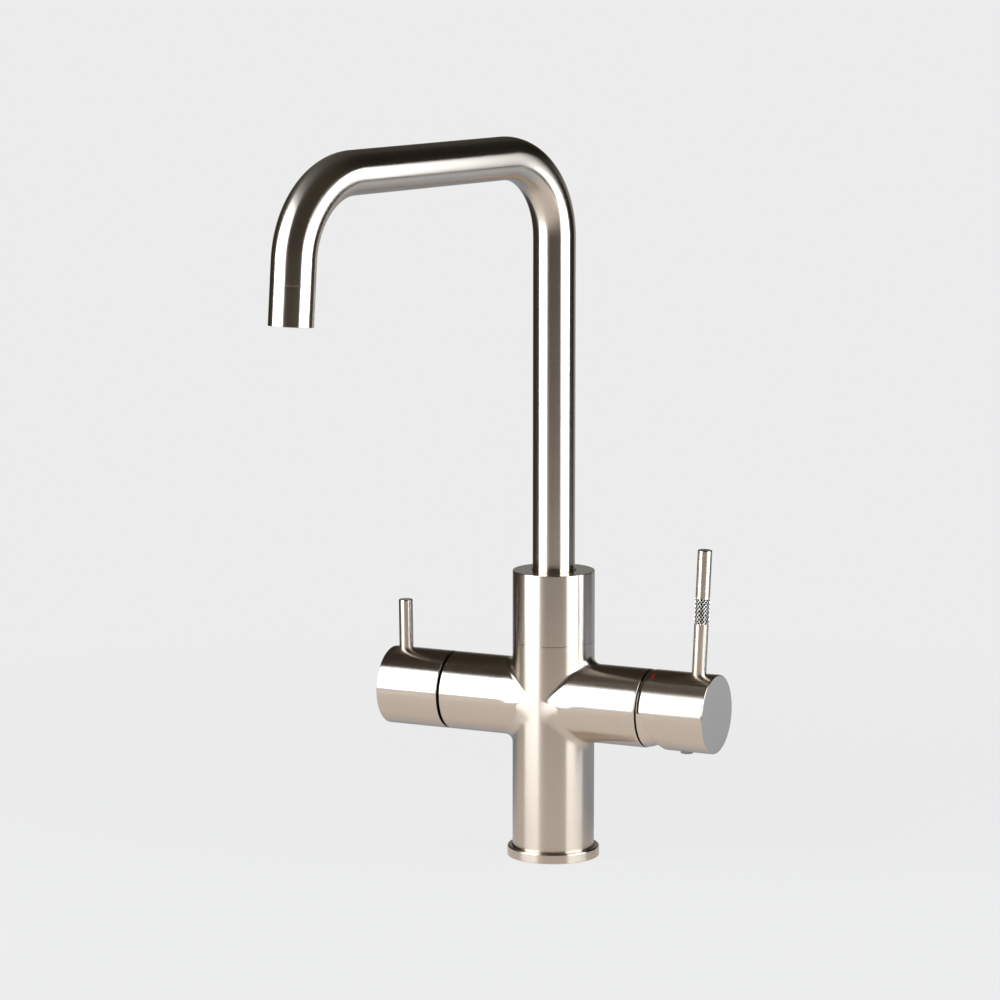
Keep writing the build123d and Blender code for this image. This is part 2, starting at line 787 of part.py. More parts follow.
def below(reach, depth):
    """Place inside a knob with local Z pointing straight down and out."""
    return Pos(-depth, 0, reach) * Rot(0, -90, 0)


def mark_strip(inner_radius, outer_radius, angle):
    """A short strip round the knob, centred this far round from the lever."""
    middle = mixer_knob_back + mark_inset
    start = middle - mark_width / 2
    end = middle + mark_width / 2
    outline = Polyline((inner_radius, 0, start), (outer_radius, 0, start),
                       (outer_radius, 0, end), (inner_radius, 0, end), close=True)
    return Rot(0, 0, angle - mark_sweep / 2) * revolve(make_face(outline), Axis.Z, mark_sweep)


def colour_mark(angle):
    """An enamel strip let into the knob."""
    return right_side * mark_strip(knob_radius - mark_depth, knob_radius, angle)


def grub_hole():
    """Tapped hole under the knob, with a wider seat for the plug."""
    hole = cylinder(grub_radius + assembly_clearance, 0, knob_radius)
    hole += cylinder(plug_radius + assembly_clearance, plug_floor, 2 * knob_radius)
    return below(grub_reach, 0) * hole


def mixer_knob():
    """Hollow knob with a round cavity over the dome and a slanted cut under its back."""
    knob = turned(
        (0, mixer_knob_back), (knob_radius, mixer_knob_back), (knob_radius, mixer_knob_face - knob_edge),
        (knob_radius - knob_edge, mixer_knob_face), (0, mixer_knob_face),
    )
    knob -= Pos(0, 0, pivot_reach) * Sphere(dome_radius + sweep_clearance)
    size = 4 * knob_radius
    cut_start = mixer_knob_back + knob_cut_offset
    knob -= Pos(0, 0, cut_start) * Rot(0, tilt_range, 0) * Box(size, size, size, align=from_top)
    socket = stem_width + 2 * assembly_clearance
    socket_end = stem_end + 4 * thrust_clearance
    knob -= Pos(0, 0, pivot_reach) * Box(socket, socket, socket_end - pivot_reach, align=from_base)
    knob -= grub_hole()
    knob -= lever_axis(mixer_lever_reach, mixer_lever_lean) * lever_hole()
    for angle in (mark_angle, -mark_angle):
        knob -= mark_strip(knob_radius - mark_depth, knob_radius + mark_depth, angle)
    return right_side * knob


def mixer_lever():
    """Rod of the mixer with a knurled grip band."""
    band_radius = lever_radius + knurl_proud
    end = knurl_start + knurl_length
    band = turned(
        (0, knurl_start), (lever_radius, knurl_start), (band_radius, knurl_start + knurl_proud),
        (band_radius, end - knurl_proud), (lever_radius, end), (0, end),
    )
    place = lever_axis(mixer_lever_reach, mixer_lever_lean)
    return right_side * (place * (lever_rod(mixer_lever_length) + band))


def mixer_grub_screw():
    """Grub screw that clamps the knob on the stem."""
    start = stem_width / 2 + assembly_clearance
    end = plug_floor - grub_radius
    screw = cylinder(grub_radius, start, end) - hex_socket(grub_socket, end, grub_radius)
    return right_side * (below(grub_reach, 0) * screw)


def grub_plug():
    """Grey plug over the grub screw, standing a little proud."""
    top = knob_radius + plug_proud
    plug = turned(
        (0, plug_floor), (plug_radius, plug_floor), (plug_radius, top - plug_edge),
        (plug_radius - plug_edge, top), (0, top),
    )
    return right_side * (below(grub_reach, 0) * plug)


# Boiling water valve
def valve_seal():
    """Rubber seat ring under the boiling water valve."""
    outer = valve_radius - assembly_clearance
    return left_side * ring(outer, valve_seal_bore, valve_seat, valve_body_start)


def quarter_ports(start, end, turn):
    """Two opposite openings in a ceramic disc, each a little under a quarter turn."""
    outline = Polyline((valve_port_web, 0, start), (valve_bore - valve_port_rim, 0, start),
                       (valve_bore - valve_port_rim, 0, end), (valve_port_web, 0, end), close=True)
    port = revolve(make_face(outline), Axis.Z, 80)
    return Rot(0, 0, turn) * port + Rot(0, 0, turn + 180) * port


def valve_fixed_disc():
    """Fixed ceramic disc of the boiling water valve."""
    disc = cylinder(valve_bore - assembly_clearance, valve_body_start, valve_fixed_end)
    return left_side * (disc - quarter_ports(valve_body_start, valve_fixed_end, 5))


def valve_moving_disc():
    """Turning ceramic disc, shown closed, a quarter turn from the fixed openings."""
    disc = cylinder(valve_bore - sweep_clearance, valve_moving_start, valve_moving_end)
    return left_side * (disc - quarter_ports(valve_moving_start, valve_moving_end, 95))


def valve_body():
    """Screwed-in valve body with its disc bore, side windows, hexagon and neck."""
    spindle_bore = spindle_radius + running_clearance
    bore_end = driver_end + thrust_clearance
    hexagon = extrude(RegularPolygon(hex_flats / 2, 6, major_radius=False), amount=hex_height)
    body = turned(
        (valve_bore, valve_body_start), (valve_radius, valve_body_start), (valve_radius, recess_floor),
        (valve_neck_radius, recess_floor), (valve_neck_radius, valve_top), (spindle_bore, valve_top),
        (spindle_bore, bore_end), (valve_bore, bore_end),
    )
    body += Pos(0, 0, recess_floor) * hexagon - cylinder(spindle_bore, recess_floor, hex_end)
    for place in PolarLocations(valve_bore, 4, start_angle=45):
        window = Box(window_width, window_width, driver_height, align=from_base)
        body -= place * Pos(0, 0, valve_moving_end) * window
    return left_side * body


def valve_spindle():
    """Spindle with the driver that turns the disc and flats that the knob slides on."""
    groove_radius = spindle_radius - clip_groove
    spindle = turned(
        (0, valve_moving_end), (driver_radius, valve_moving_end), (driver_radius, driver_end),
        (spindle_radius, driver_end), (spindle_radius, clip_start), (groove_radius, clip_start),
        (groove_radius, clip_end), (spindle_radius, clip_end), (spindle_radius, spindle_end),
        (0, spindle_end),
    )
    spindle -= seal_groove(spindle_radius, valve_top - spindle_seal_depth)
    size = 4 * spindle_radius
    flat = Pos(spindle_flat, 0, clip_end + clip_thickness) * Box(
        size, size, spindle_end, align=(Align.MIN, Align.CENTER, Align.MIN))
    spindle -= flat + Rot(0, 0, 180) * flat
    screw_end = spindle_end - screw_length - assembly_clearance
    spindle -= cylinder(screw_radius + assembly_clearance, screw_end, spindle_end)
    return left_side * spindle


def spindle_seal():
    """Seal ring on the spindle, in the neck of the valve body."""
    return left_side * seal_ring(spindle_radius, valve_top - spindle_seal_depth)


def spindle_clip():
    """Spring clip that keeps the spindle in the valve body."""
    bore = spindle_radius - clip_groove + assembly_clearance
    clip = ring(spindle_radius + clip_width, bore, clip_start, clip_end)
    size = 4 * spindle_radius
    gap = Box(size, clip_width, size, align=(Align.MIN, Align.CENTER, Align.CENTER))
    return left_side * (clip - Pos(0, 0, clip_start) * gap)


# Boiling water knob
def push_spring():
    """Coil spring that pushes the knob out again after the safety push."""
    start = hex_end + spring_wire_radius + thrust_clearance
    height = knob_pocket - spring_wire_radius - thrust_clearance - start
    path = Helix(pitch=height / spring_turns, height=height, radius=spring_radius)
    section = Plane(origin=path @ 0, z_dir=path % 0) * Circle(spring_wire_radius)
    return left_side * (Pos(0, 0, start) * sweep(section, path=path, is_frenet=True))


def knob_insert():
    """Plastic insert with a flat-sided bore that slides on the spindle."""
    stop = spindle_end - thrust_clearance
    start = boiling_knob_back + insert_inset
    half = spindle_flat + running_clearance
    insert = cylinder(insert_radius, start, insert_end)
    insert -= cylinder(screw_head_radius + sweep_clearance, stop, insert_end)
    bore = cylinder(spindle_radius + running_clearance, start, stop)
    return left_side * (insert - (bore & slot_box(-half, half, 4 * spindle_radius, start, stop)))


def insert_screw():
    """Screw in the end of the spindle that stops the knob from being pushed off."""
    head_end = spindle_end + screw_head_height
    screw = cylinder(screw_head_radius, spindle_end, head_end)
    screw += cylinder(screw_radius, spindle_end - screw_length, spindle_end)
    return left_side * (screw - hex_socket(screw_socket, head_end, screw_socket))


def rear_grub(radius, start, end):
    """Hole or screw that enters the boiling water knob from its hidden rear side."""
    station = (knob_pocket + insert_end) / 2
    return Pos(0, 0, station) * Rot(-90, 0, 0) * cylinder(radius, start, end)


def boiling_knob():
    """Knob of the boiling water side, hollow at the back for the spring."""
    hole_end = insert_end + 2 * sweep_clearance
    insert_hole = insert_radius + assembly_clearance
    knob = turned(
        (recess_radius, boiling_knob_back), (knob_radius - barrel_edge, boiling_knob_back),
        (knob_radius, boiling_knob_back + barrel_edge), (knob_radius, boiling_knob_face - knob_edge),
        (knob_radius - knob_edge, boiling_knob_face), (0, boiling_knob_face), (0, hole_end),
        (insert_hole, hole_end), (insert_hole, knob_pocket), (recess_radius, knob_pocket),
    )
    knob -= lever_axis(boiling_lever_reach, boiling_lever_lean) * lever_hole()
    return left_side * (knob - rear_grub(grub_radius + assembly_clearance, insert_radius, 2 * knob_radius))


def boiling_lever():
    """Short plain rod of the boiling water knob."""
    place = lever_axis(boiling_lever_reach, boiling_lever_lean)
    return left_side * (place * lever_rod(boiling_lever_length))


def boiling_grub_screw():
    """Grub screw that clamps the boiling water knob on its insert."""
    end = knob_radius - grub_radius
    screw = rear_grub(grub_radius, insert_radius + assembly_clearance, end)
    return left_side * (screw - rear_grub(grub_socket, end - grub_radius, end))


sub_parts = [
    base_flange, base_gasket, base_insert, insert_seal, tap_body, spout_collar, slip_washer, slip_ring,
    swivel_bush, centre_seal, spout_foot, foot_seals, spout_tube, boiling_tube, end_sleeve, aerator_body,
    jet_plate, aerator_mesh, boiling_nozzle, aerator_seal, cartridge_base, cartridge_seals, fixed_disc,
    moving_disc, disc_carrier, cartridge_housing, cartridge_turret, pivot_pin, cartridge_stem,
    cartridge_nut, dome_cover, mixer_knob, mixer_lever, mixer_grub_screw, grub_plug, valve_seal,
    valve_fixed_disc, valve_moving_disc, valve_body, valve_spindle, spindle_seal, spindle_clip,
    push_spring, knob_insert, insert_screw, boiling_knob, boiling_lever, boiling_grub_screw,
]

os.makedirs("parts", exist_ok=True)


def save(name, shape):
    """Write one sub-part, or one group of like solids, to its STEP file."""
    if isinstance(shape, list):
        shape = Compound(children=shape)
    export_step(shape, f"parts/{name}.step")


for sub_part in sub_parts:
    save(sub_part.__name__, sub_part())

for name, place in (("hot_pipe", hot_place), ("cold_pipe", cold_place), ("boiling_pipe", boiling_place)):
    save(name, supply_pipe(place))

for name, angle in (("hot_mark", mark_angle), ("cold_mark", -mark_angle)):
    save(name, colour_mark(angle))
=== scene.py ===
import json
import math

import bmesh
import bpy
import numpy as np
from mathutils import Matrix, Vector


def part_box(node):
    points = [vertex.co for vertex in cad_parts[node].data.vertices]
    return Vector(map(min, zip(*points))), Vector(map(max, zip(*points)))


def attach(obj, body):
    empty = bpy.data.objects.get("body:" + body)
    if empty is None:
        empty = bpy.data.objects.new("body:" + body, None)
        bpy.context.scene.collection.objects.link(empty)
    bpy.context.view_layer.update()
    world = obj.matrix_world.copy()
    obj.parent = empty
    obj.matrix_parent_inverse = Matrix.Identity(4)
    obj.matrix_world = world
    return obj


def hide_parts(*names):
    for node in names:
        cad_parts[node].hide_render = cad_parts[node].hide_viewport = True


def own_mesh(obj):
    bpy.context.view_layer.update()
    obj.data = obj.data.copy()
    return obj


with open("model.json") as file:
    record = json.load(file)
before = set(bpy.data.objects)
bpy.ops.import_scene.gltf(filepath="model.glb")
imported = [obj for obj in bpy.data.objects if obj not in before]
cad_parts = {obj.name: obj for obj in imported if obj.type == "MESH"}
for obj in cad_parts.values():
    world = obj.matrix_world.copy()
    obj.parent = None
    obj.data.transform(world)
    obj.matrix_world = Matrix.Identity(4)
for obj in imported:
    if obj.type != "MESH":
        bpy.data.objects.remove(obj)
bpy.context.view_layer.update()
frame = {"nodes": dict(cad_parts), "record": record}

# A boiling water tap in satin nickel. Lengths in the dictionaries are millimetres and angles are
# degrees. The foot's centre is the origin, z is up and the cross bar lies along x.
mm = 0.001
scene = bpy.context.scene
scene.view_settings.view_transform = "Standard"

# camera of the photograph, found from the tap's own edges
shot = {"place": (0.908373, -1.958101, 0.531794), "lookDown": 8.685, "turn": 25.685,
        "lens": 140.91, "sensor": 36, "farClip": 200}
camera = bpy.data.objects.new("camera", bpy.data.cameras.new("camera"))
camera.location = shot["place"]
camera.rotation_euler = (math.radians(90 - shot["lookDown"]), 0, math.radians(shot["turn"]))
camera.data.lens = shot["lens"]
camera.data.sensor_width = shot["sensor"]
camera.data.clip_end = shot["farClip"]
scene.collection.objects.link(camera)
scene.camera = camera
print("camera placed")


def nodeBox(node):
    # lowest and highest corner of a CAD node in millimetres
    return [np.array(corner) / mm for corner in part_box(node)]


def linearColour(hexText):
    # sRGB hex to linear red, green, blue, alpha
    parts = [int(hexText[i:i + 2], 16) / 255 for i in (1, 3, 5)]
    return [c / 12.92 if c <= 0.04045 else ((c + 0.055) / 1.055) ** 2.4 for c in parts] + [1]


def addNode(tree, kind, settings=None, inputs=None):
    # a node with its settings; an input that is a socket is linked, any other value is set
    node = tree.nodes.new("ShaderNode" + kind)
    for key, value in (settings or {}).items():
        setattr(node, key, value)
    for key, value in (inputs or {}).items():
        if isinstance(value, bpy.types.NodeSocket):
            tree.links.new(value, node.inputs[key])
        else:
            node.inputs[key].default_value = value
    return node


def newMaterial(name):
    material = bpy.data.materials.new(name)
    material.use_nodes = True
    material.node_tree.nodes.clear()
    return material, material.node_tree


def finishMaterial(tree, shader):
    addNode(tree, "OutputMaterial", {}, {"Surface": shader.outputs[0]})


# Surfaces: each patch is a grid of points, made from a radius and a station along a line, swept
# round it by an angle. Angles run round the line, stations along it.
flatShare = 0.9          # a row is a flat end face where its radius changes by this share of its width
supportGap = 0.25        # from an arc to the point that keeps the flat beside it flat


def straightLine(origin, across, sideways):
    # station t lies at origin + t * (across x sideways)
    origin, across, sideways = (np.array(v, float) for v in (origin, across, sideways))
    along = np.cross(across, sideways)

    def line(station):
        return origin + station[..., None] * along, across, sideways
    return line


def sweptPatch(radius, station, angles, line):
    # point = line(station) + radius * (cos(angle) * across + sin(angle) * sideways)
    radius, station, angles = np.broadcast_arrays(radius, station, angles)
    centre, across, sideways = line(station)
    x, y = radius * np.cos(angles), radius * np.sin(angles)
    points = centre + x[..., None] * across + y[..., None] * sideways
    # travelled length down the grid's rows and round its columns, for the brushing direction
    steps = np.hypot(np.diff(radius, axis=0), np.diff(station, axis=0))
    down = np.vstack([np.zeros((1, radius.shape[1])), np.cumsum(steps, 0)])
    # each row's finish: flat end faces take the piece's second one
    finish = np.abs(np.diff(radius, axis=0)).sum(1) > flatShare * steps.sum(1)
    return {"points": points, "grain": np.stack([x, y, station], -1),
            "brush": np.stack([down, angles * radius.max()], -1), "finish": finish}


def turnedPatch(outline, angles, line):
    # a turned surface: the outline's radius and station for every angle
    return sweptPatch(outline[:, :1], outline[:, 1:], angles[None, :], line)


def roundedOutline(corners, closed=False):
    # Corners are (radius, station, rounding). Each rounding becomes an arc tangent to both sides:
    # centre + (sin((1 - t) turn) * start + sin(t turn) * end) / sin(turn), with start and end the
    # spokes to the touching points. A point near each end of a long side keeps it flat there.
    corners = [tuple(c) + (0,) * (3 - len(c)) for c in corners]
    count = len(corners)
    path = []
    for i, (radius, station, rounding) in enumerate(corners):
        here = np.array([radius, station])
        before = np.array(corners[i - 1][:2]) - here
        after = np.array(corners[(i + 1) % count][:2]) - here
        isLoose = not closed and i in (0, count - 1)
        if rounding == 0 or isLoose:
            path.append(here[None])
            continue
        before, after = before / np.linalg.norm(before), after / np.linalg.norm(after)
        half = math.acos(np.clip(before @ after, -1, 1)) / 2
        middle = (before + after) / np.linalg.norm(before + after)
        centre = here + middle * rounding / math.sin(half)
        reach = rounding / math.tan(half)
        start, end = here + before * reach - centre, here + after * reach - centre
        turn = math.pi - 2 * half
        t = np.linspace(0, 1, 6)[:, None]
        arc = (np.sin((1 - t) * turn) * start + np.sin(t * turn) * end) / math.sin(turn)
        path.append(centre + arc)
    path = np.vstack(path + ([path[0][:1]] if closed else []))
    sides = np.linalg.norm(np.diff(path, axis=0), axis=1)
    filled = []
    for a, b, length in zip(path[:-1], path[1:], sides):
        isLong = length > 4 * supportGap
        t = np.array([0, supportGap / length, 1 - supportGap / length]) if isLong else np.zeros(1)
        filled.append(a + (b - a) * t[:, None])
    return np.vstack(filled + [path[-1:]])


def ease(value, start, end):
    # 0 before start, 1 after end, smooth between
    t = np.clip((value - start) / (end - start), 0, 1)
    return t * t * (3 - 2 * t)


def fullTurn(count):
    return np.linspace(0, 2 * math.pi, count + 1)


def gridFaces(rows, columns, start=0):
    # four-sided faces between neighbouring points of a grid whose first point is number start
    index = start + np.arange(rows * columns).reshape(rows, columns)
    return np.stack([index[:-1, :-1], index[:-1, 1:], index[1:, 1:], index[1:, :-1]], -1).reshape(-1, 4)


weld = {"shared": 2e-6, "shortest": 1e-7, "sharpAngle": 35}          # metres and degrees


def makePiece(name, patches, materials, body, node):
    # All patches go into one mesh, their shared edges are merged and the faces point outwards.
    # A patch's finish is the number of the material that each of its rows takes.
    points, grain, brush, faces, finish, start = [], [], [], [], [], 0
    for patch in patches:
        rows, columns = patch["points"].shape[:2]
        rowFinish = np.minimum(patch.get("finish", np.zeros(rows - 1)), len(materials) - 1)
        finish.append(np.repeat(rowFinish, columns - 1).astype(np.int32))
        faces.append(gridFaces(rows, columns, start))
        points.append(patch["points"].reshape(-1, 3))
        grain.append(patch["grain"].reshape(-1, 3))
        brush.append(patch["brush"].reshape(-1, 2))
        start += rows * columns
    points, grain, brush, faces, finish = (np.concatenate(part) for part in
                                           (points, grain, brush, faces, finish))
    mesh = bpy.data.meshes.new(name)
    mesh.from_pydata(points * mm, [], faces)
    mesh.polygons.foreach_set("material_index", finish)
    grainData = mesh.attributes.new("grain", "FLOAT_VECTOR", "POINT")
    grainData.data.foreach_set("vector", (grain * mm).astype(np.float32).ravel())
    brushMap = mesh.uv_layers.new(name="brush")
    brushMap.data.foreach_set("uv", (brush[faces.ravel()] * mm).astype(np.float32).ravel())
    work = bmesh.new()
    work.from_mesh(mesh)
    bmesh.ops.remove_doubles(work, verts=work.verts, dist=weld["shared"])
    bmesh.ops.dissolve_degenerate(work, edges=work.edges, dist=weld["shortest"])
    bmesh.ops.recalc_face_normals(work, faces=work.faces)
    work.to_mesh(mesh)
    work.free()
    mesh.shade_smooth()
    mesh.set_sharp_from_angle(angle=math.radians(weld["sharpAngle"]))
    for material in materials:
        mesh.materials.append(material)
    piece = bpy.data.objects.new(name, mesh)
    scene.collection.objects.link(piece)
    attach(piece, body)
    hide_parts(node)
    return piece


# Finishes. The knobs, the bars and the column are brushed round, the tube and the levers are drawn,
# end faces are turned and the dome is polished.
nickel = {"tint": "#cfc0b0", "streakTint": "#c7b6a6", "roughness": 0.26, "roughnessSwing": 0.015,
          "anisotropy": 0.9, "streakSpacing": 0.55, "streakLength": 30, "wipeSize": 28, "relief": 0.00006}
drawnNickel = {**nickel, "roughness": 0.24, "anisotropy": 0.87}
turnedNickel = {**nickel, "roughness": 0.2, "anisotropy": 0.0}
polishedNickel = {**nickel, "roughness": 0.1, "anisotropy": 0.0}


def satinNickel(name, spec):
    # Nickel plate on brass, brushed round each turned form: a warm grey metal whose highlights
    # stay crisp round the form and smear a little along it. Turned and polished faces have no
    # direction, and shine evenly.
    material, tree = newMaterial(name)
    grain = addNode(tree, "Attribute", {"attribute_name": "grain"})
    # real brush lines are under 0.1 mm; they are drawn 0.55 mm apart so that they show
    perMetre = [1 / (spec["streakLength"] * mm)] * 2 + [1 / (spec["streakSpacing"] * mm)]
    streakPlace = addNode(tree, "Mapping", {}, {"Vector": grain.outputs["Vector"], "Scale": perMetre})
    streaks = addNode(tree, "TexNoise", {}, {"Vector": streakPlace.outputs[0], "Scale": 1, "Detail": 3,
                                             "Roughness": 0.6})
    wipes = addNode(tree, "TexNoise", {}, {"Vector": grain.outputs["Vector"],
                                           "Scale": 1 / (spec["wipeSize"] * mm), "Detail": 2})
    tint = addNode(tree, "Mix", {"data_type": "RGBA"},
                   {0: streaks.outputs["Fac"], 6: linearColour(spec["streakTint"]),
                    7: linearColour(spec["tint"])})
    both = addNode(tree, "Math", {"operation": "ADD"}, {0: streaks.outputs["Fac"], 1: wipes.outputs["Fac"]})
    # both noises stay within 0.3 and 0.7
    roughness = addNode(tree, "MapRange", {}, {
        "Value": both.outputs[0], "From Min": 0.6, "From Max": 1.4,
        "To Min": spec["roughness"] - spec["roughnessSwing"] / 2,
        "To Max": spec["roughness"] + spec["roughnessSwing"] / 2})
    bump = addNode(tree, "Bump", {}, {"Strength": 1, "Distance": spec["relief"] * mm,
                                      "Height": streaks.outputs["Fac"]})
    direction = addNode(tree, "Tangent", {"direction_type": "UV_MAP", "uv_map": "brush"})
    shader = addNode(tree, "BsdfPrincipled", {}, {
        "Base Color": tint.outputs[2], "Metallic": 1, "Roughness": roughness.outputs[0],
        "Anisotropic": spec["anisotropy"], "Normal": bump.outputs[0], "Tangent": direction.outputs[0]})
    finishMaterial(tree, shader)
    return material


def knurledNickelPaintedLight(name, spec, deepest, highest):
    # The rolled grip: painted shade in the pits and a painted highlight on the ridges, told apart by the
    # distance from the rod's axis.
    material, tree = newMaterial(name)
    grain = addNode(tree, "Attribute", {"attribute_name": "grain"})
    across = addNode(tree, "VectorMath", {"operation": "MULTIPLY"},
                     {0: grain.outputs["Vector"], 1: (1, 1, 0)})
    distance = addNode(tree, "VectorMath", {"operation": "LENGTH"}, {0: across.outputs[0]})
    paintedRidgeHighlight = addNode(tree, "MapRange", {}, {"Value": distance.outputs["Value"], "From Min": deepest * mm,
                                           "From Max": highest * mm})
    colour = addNode(tree, "Mix", {"data_type": "RGBA"},
                     {0: paintedRidgeHighlight.outputs[0], 6: linearColour(spec["paintedPitShade"]), 7: linearColour(spec["paintedRidgeHighlight"])})
    shader = addNode(tree, "BsdfPrincipled", {}, {"Base Color": colour.outputs[2], "Metallic": 1,
                                                  "Roughness": spec["roughness"]})
    finishMaterial(tree, shader)
    return material


def metalInside(name, tint, shade, roughness, lineSpacing):
    # A machined or cast metal under the covers: marks at the given spacing darken and dull it.
    material, tree = newMaterial(name)
    place = addNode(tree, "TexCoord")
    marks = addNode(tree, "TexNoise", {}, {"Vector": place.outputs["Object"],
                                           "Scale": 1 / (lineSpacing * mm), "Detail": 4})
    colour = addNode(tree, "Mix", {"data_type": "RGBA"},
                     {0: marks.outputs["Fac"], 6: linearColour(shade), 7: linearColour(tint)})
    rough = addNode(tree, "MapRange", {}, {"Value": marks.outputs["Fac"], "To Min": roughness - 0.06,
                                           "To Max": roughness + 0.1})
    bump = addNode(tree, "Bump", {}, {"Strength": 0.4, "Distance": 0.02 * mm,
                                      "Height": marks.outputs["Fac"]})
    shader = addNode(tree, "BsdfPrincipled", {}, {"Base Color": colour.outputs[2], "Metallic": 1,
                                                  "Roughness": rough.outputs[0], "Normal": bump.outputs[0]})
    finishMaterial(tree, shader)
    return material


def mouldedOrFired(name, tint, shade, roughness, textureSize, relief, ior):
    # Plastic, rubber, ceramic or enamel: two close tints, a fine surface texture and a soft sheen.
    material, tree = newMaterial(name)
    place = addNode(tree, "TexCoord")
    texture = addNode(tree, "TexNoise", {}, {"Vector": place.outputs["Object"],
                                             "Scale": 1 / (textureSize * mm), "Detail": 3})
    colour = addNode(tree, "Mix", {"data_type": "RGBA"},
                     {0: texture.outputs["Fac"], 6: linearColour(shade), 7: linearColour(tint)})
    rough = addNode(tree, "MapRange", {}, {"Value": texture.outputs["Fac"], "To Min": roughness - 0.05,
                                           "To Max": roughness + 0.05})
    bump = addNode(tree, "Bump", {}, {"Strength": 0.5, "Distance": relief * mm,
                                      "Height": texture.outputs["Fac"]})
    shader = addNode(tree, "BsdfPrincipled", {}, {"Base Color": colour.outputs[2],
                                                  "Roughness": rough.outputs[0],
                                                  "IOR": ior, "Normal": bump.outputs[0]})
    finishMaterial(tree, shader)
    return material


satin = satinNickel("satinNickelPlate", nickel)
turned = satinNickel("turnedNickelPlate", turnedNickel)
drawn = satinNickel("drawnNickelTube", drawnNickel)
brushed = [satin, turned]
finishes = {
    # warm yellow brass with the cutter's fine marks
    "brass": metalInside("machinedBrass", "#c9a765", "#b08f50", 0.3, 0.8),
    # dull metal left as cast, painted near black as painted shade in mouths and gaps, which makes them look
    # deep
    "castPaintedShade": metalInside("castingInPaintedShade", "#4a433b", "#3a342e", 0.5, 0.6),
    # cool bright steel of wire, mesh, clips and screws
    "steel": metalInside("stainlessSteel", "#c3c3c2", "#aeaeae", 0.28, 0.6),
    # moulded rubber: nearly black, matt and faintly grained
    "rubber": mouldedOrFired("sealRubber", "#262626", "#1c1c1c", 0.6, 0.5, 0.02, 1.52),
    # machined acetal: milky white, waxy and even
    "bearing_plastic": mouldedOrFired("slipAcetal", "#e8e7e0", "#dddcd4", 0.35, 1.2, 0.005, 1.48),
    # moulded glass filled nylon: dark grey with a fibrous, half matt skin
    "cartridge_plastic": mouldedOrFired("glassFilledNylon", "#3b3e42", "#303338", 0.5, 0.4, 0.02, 1.53),
    # lapped alumina: ivory white and mirror flat
    "ceramic": mouldedOrFired("lappedAlumina", "#f0efe9", "#e6e4dc", 0.18, 0.3, 0.002, 1.76),
    # moulded acetal: mid grey with a soft sheen
    "aerator_plastic": mouldedOrFired("aeratorAcetal", "#6f7072", "#626365", 0.42, 0.8, 0.01, 1.48),
    # moulded ABS: warm grey with a soft sheen, next to the nickel's colour
    "plug_grey": mouldedOrFired("plugAbs", "#857f79", "#78736d", 0.4, 0.7, 0.01, 1.54),
    # fired enamel: deep, glossy colour that sits just proud of the metal
    "mark_red": mouldedOrFired("redEnamel", "#84191b", "#741418", 0.22, 1.0, 0.002, 1.5),
    "mark_blue": mouldedOrFired("blueEnamel", "#1c4fae", "#173f96", 0.22, 1.0, 0.002, 1.5),
}
slotOf = {row["node"]: row["material_slot"] for row in frame["record"]["subparts"]}
for nodeName, nodeObject in frame["nodes"].items():
    finish = finishes.get(slotOf[nodeName], satin)
    if not nodeObject.material_slots:
        nodeObject.data.materials.append(finish)
    for materialSlot in nodeObject.material_slots:
        materialSlot.material = finish
print("finishes made")

# Lines that the pieces are swept round. On the bar, angle 0 is up, and a quarter turn is
# frontwards for the right half and backwards for the left half.
barHeight = 89.0
columnLine = straightLine((0, 0, 0), (1, 0, 0), (0, 1, 0))
rightLine = straightLine((0, 0, barHeight), (0, 0, 1), (0, -1, 0))
leftLine = straightLine((0, 0, barHeight), (0, 0, 1), (0, 1, 0))

# Hollow pieces are left unpolished inside and take painted shade there: their third finish.
hollow = brushed + [finishes["castPaintedShade"]]
shadedRawFinish = 2
slack = 0.01             # so that a rounded sum doesn't move a row to the other finish

# Cast body. A socket is its mouth's radius and depth and its bore's radius and depth.
castBody = {"columnRadius": 23.0, "barRadius": 22.0, "foot": 1.6, "seam": 123.0,
            "fillet": 4.5, "frontFillet": 2.6, "frontBlend": 120.0, "blendAbove": 2.5, "blendBelow": 6.0,
            "swell": 0.5, "swellSpread": 45.0, "swellReach": 26.0,
            "seamEdge": 0.15, "barrelEdge": 0.5, "mouthEdge": 0.2, "columnBore": 20.0, "blockFloor": 66.0,
            "spigotBore": 17.8, "spigotRadius": 20.0, "socketRadius": 15.0, "socketFloor": 110.0,
            "rightSocket": (19.0, 6.9, 17.55, 26.9), "leftSocket": (18.5, 14.3, 9.55, 37.3),
            "around": 192, "gather": 0.45, "strip": 20}


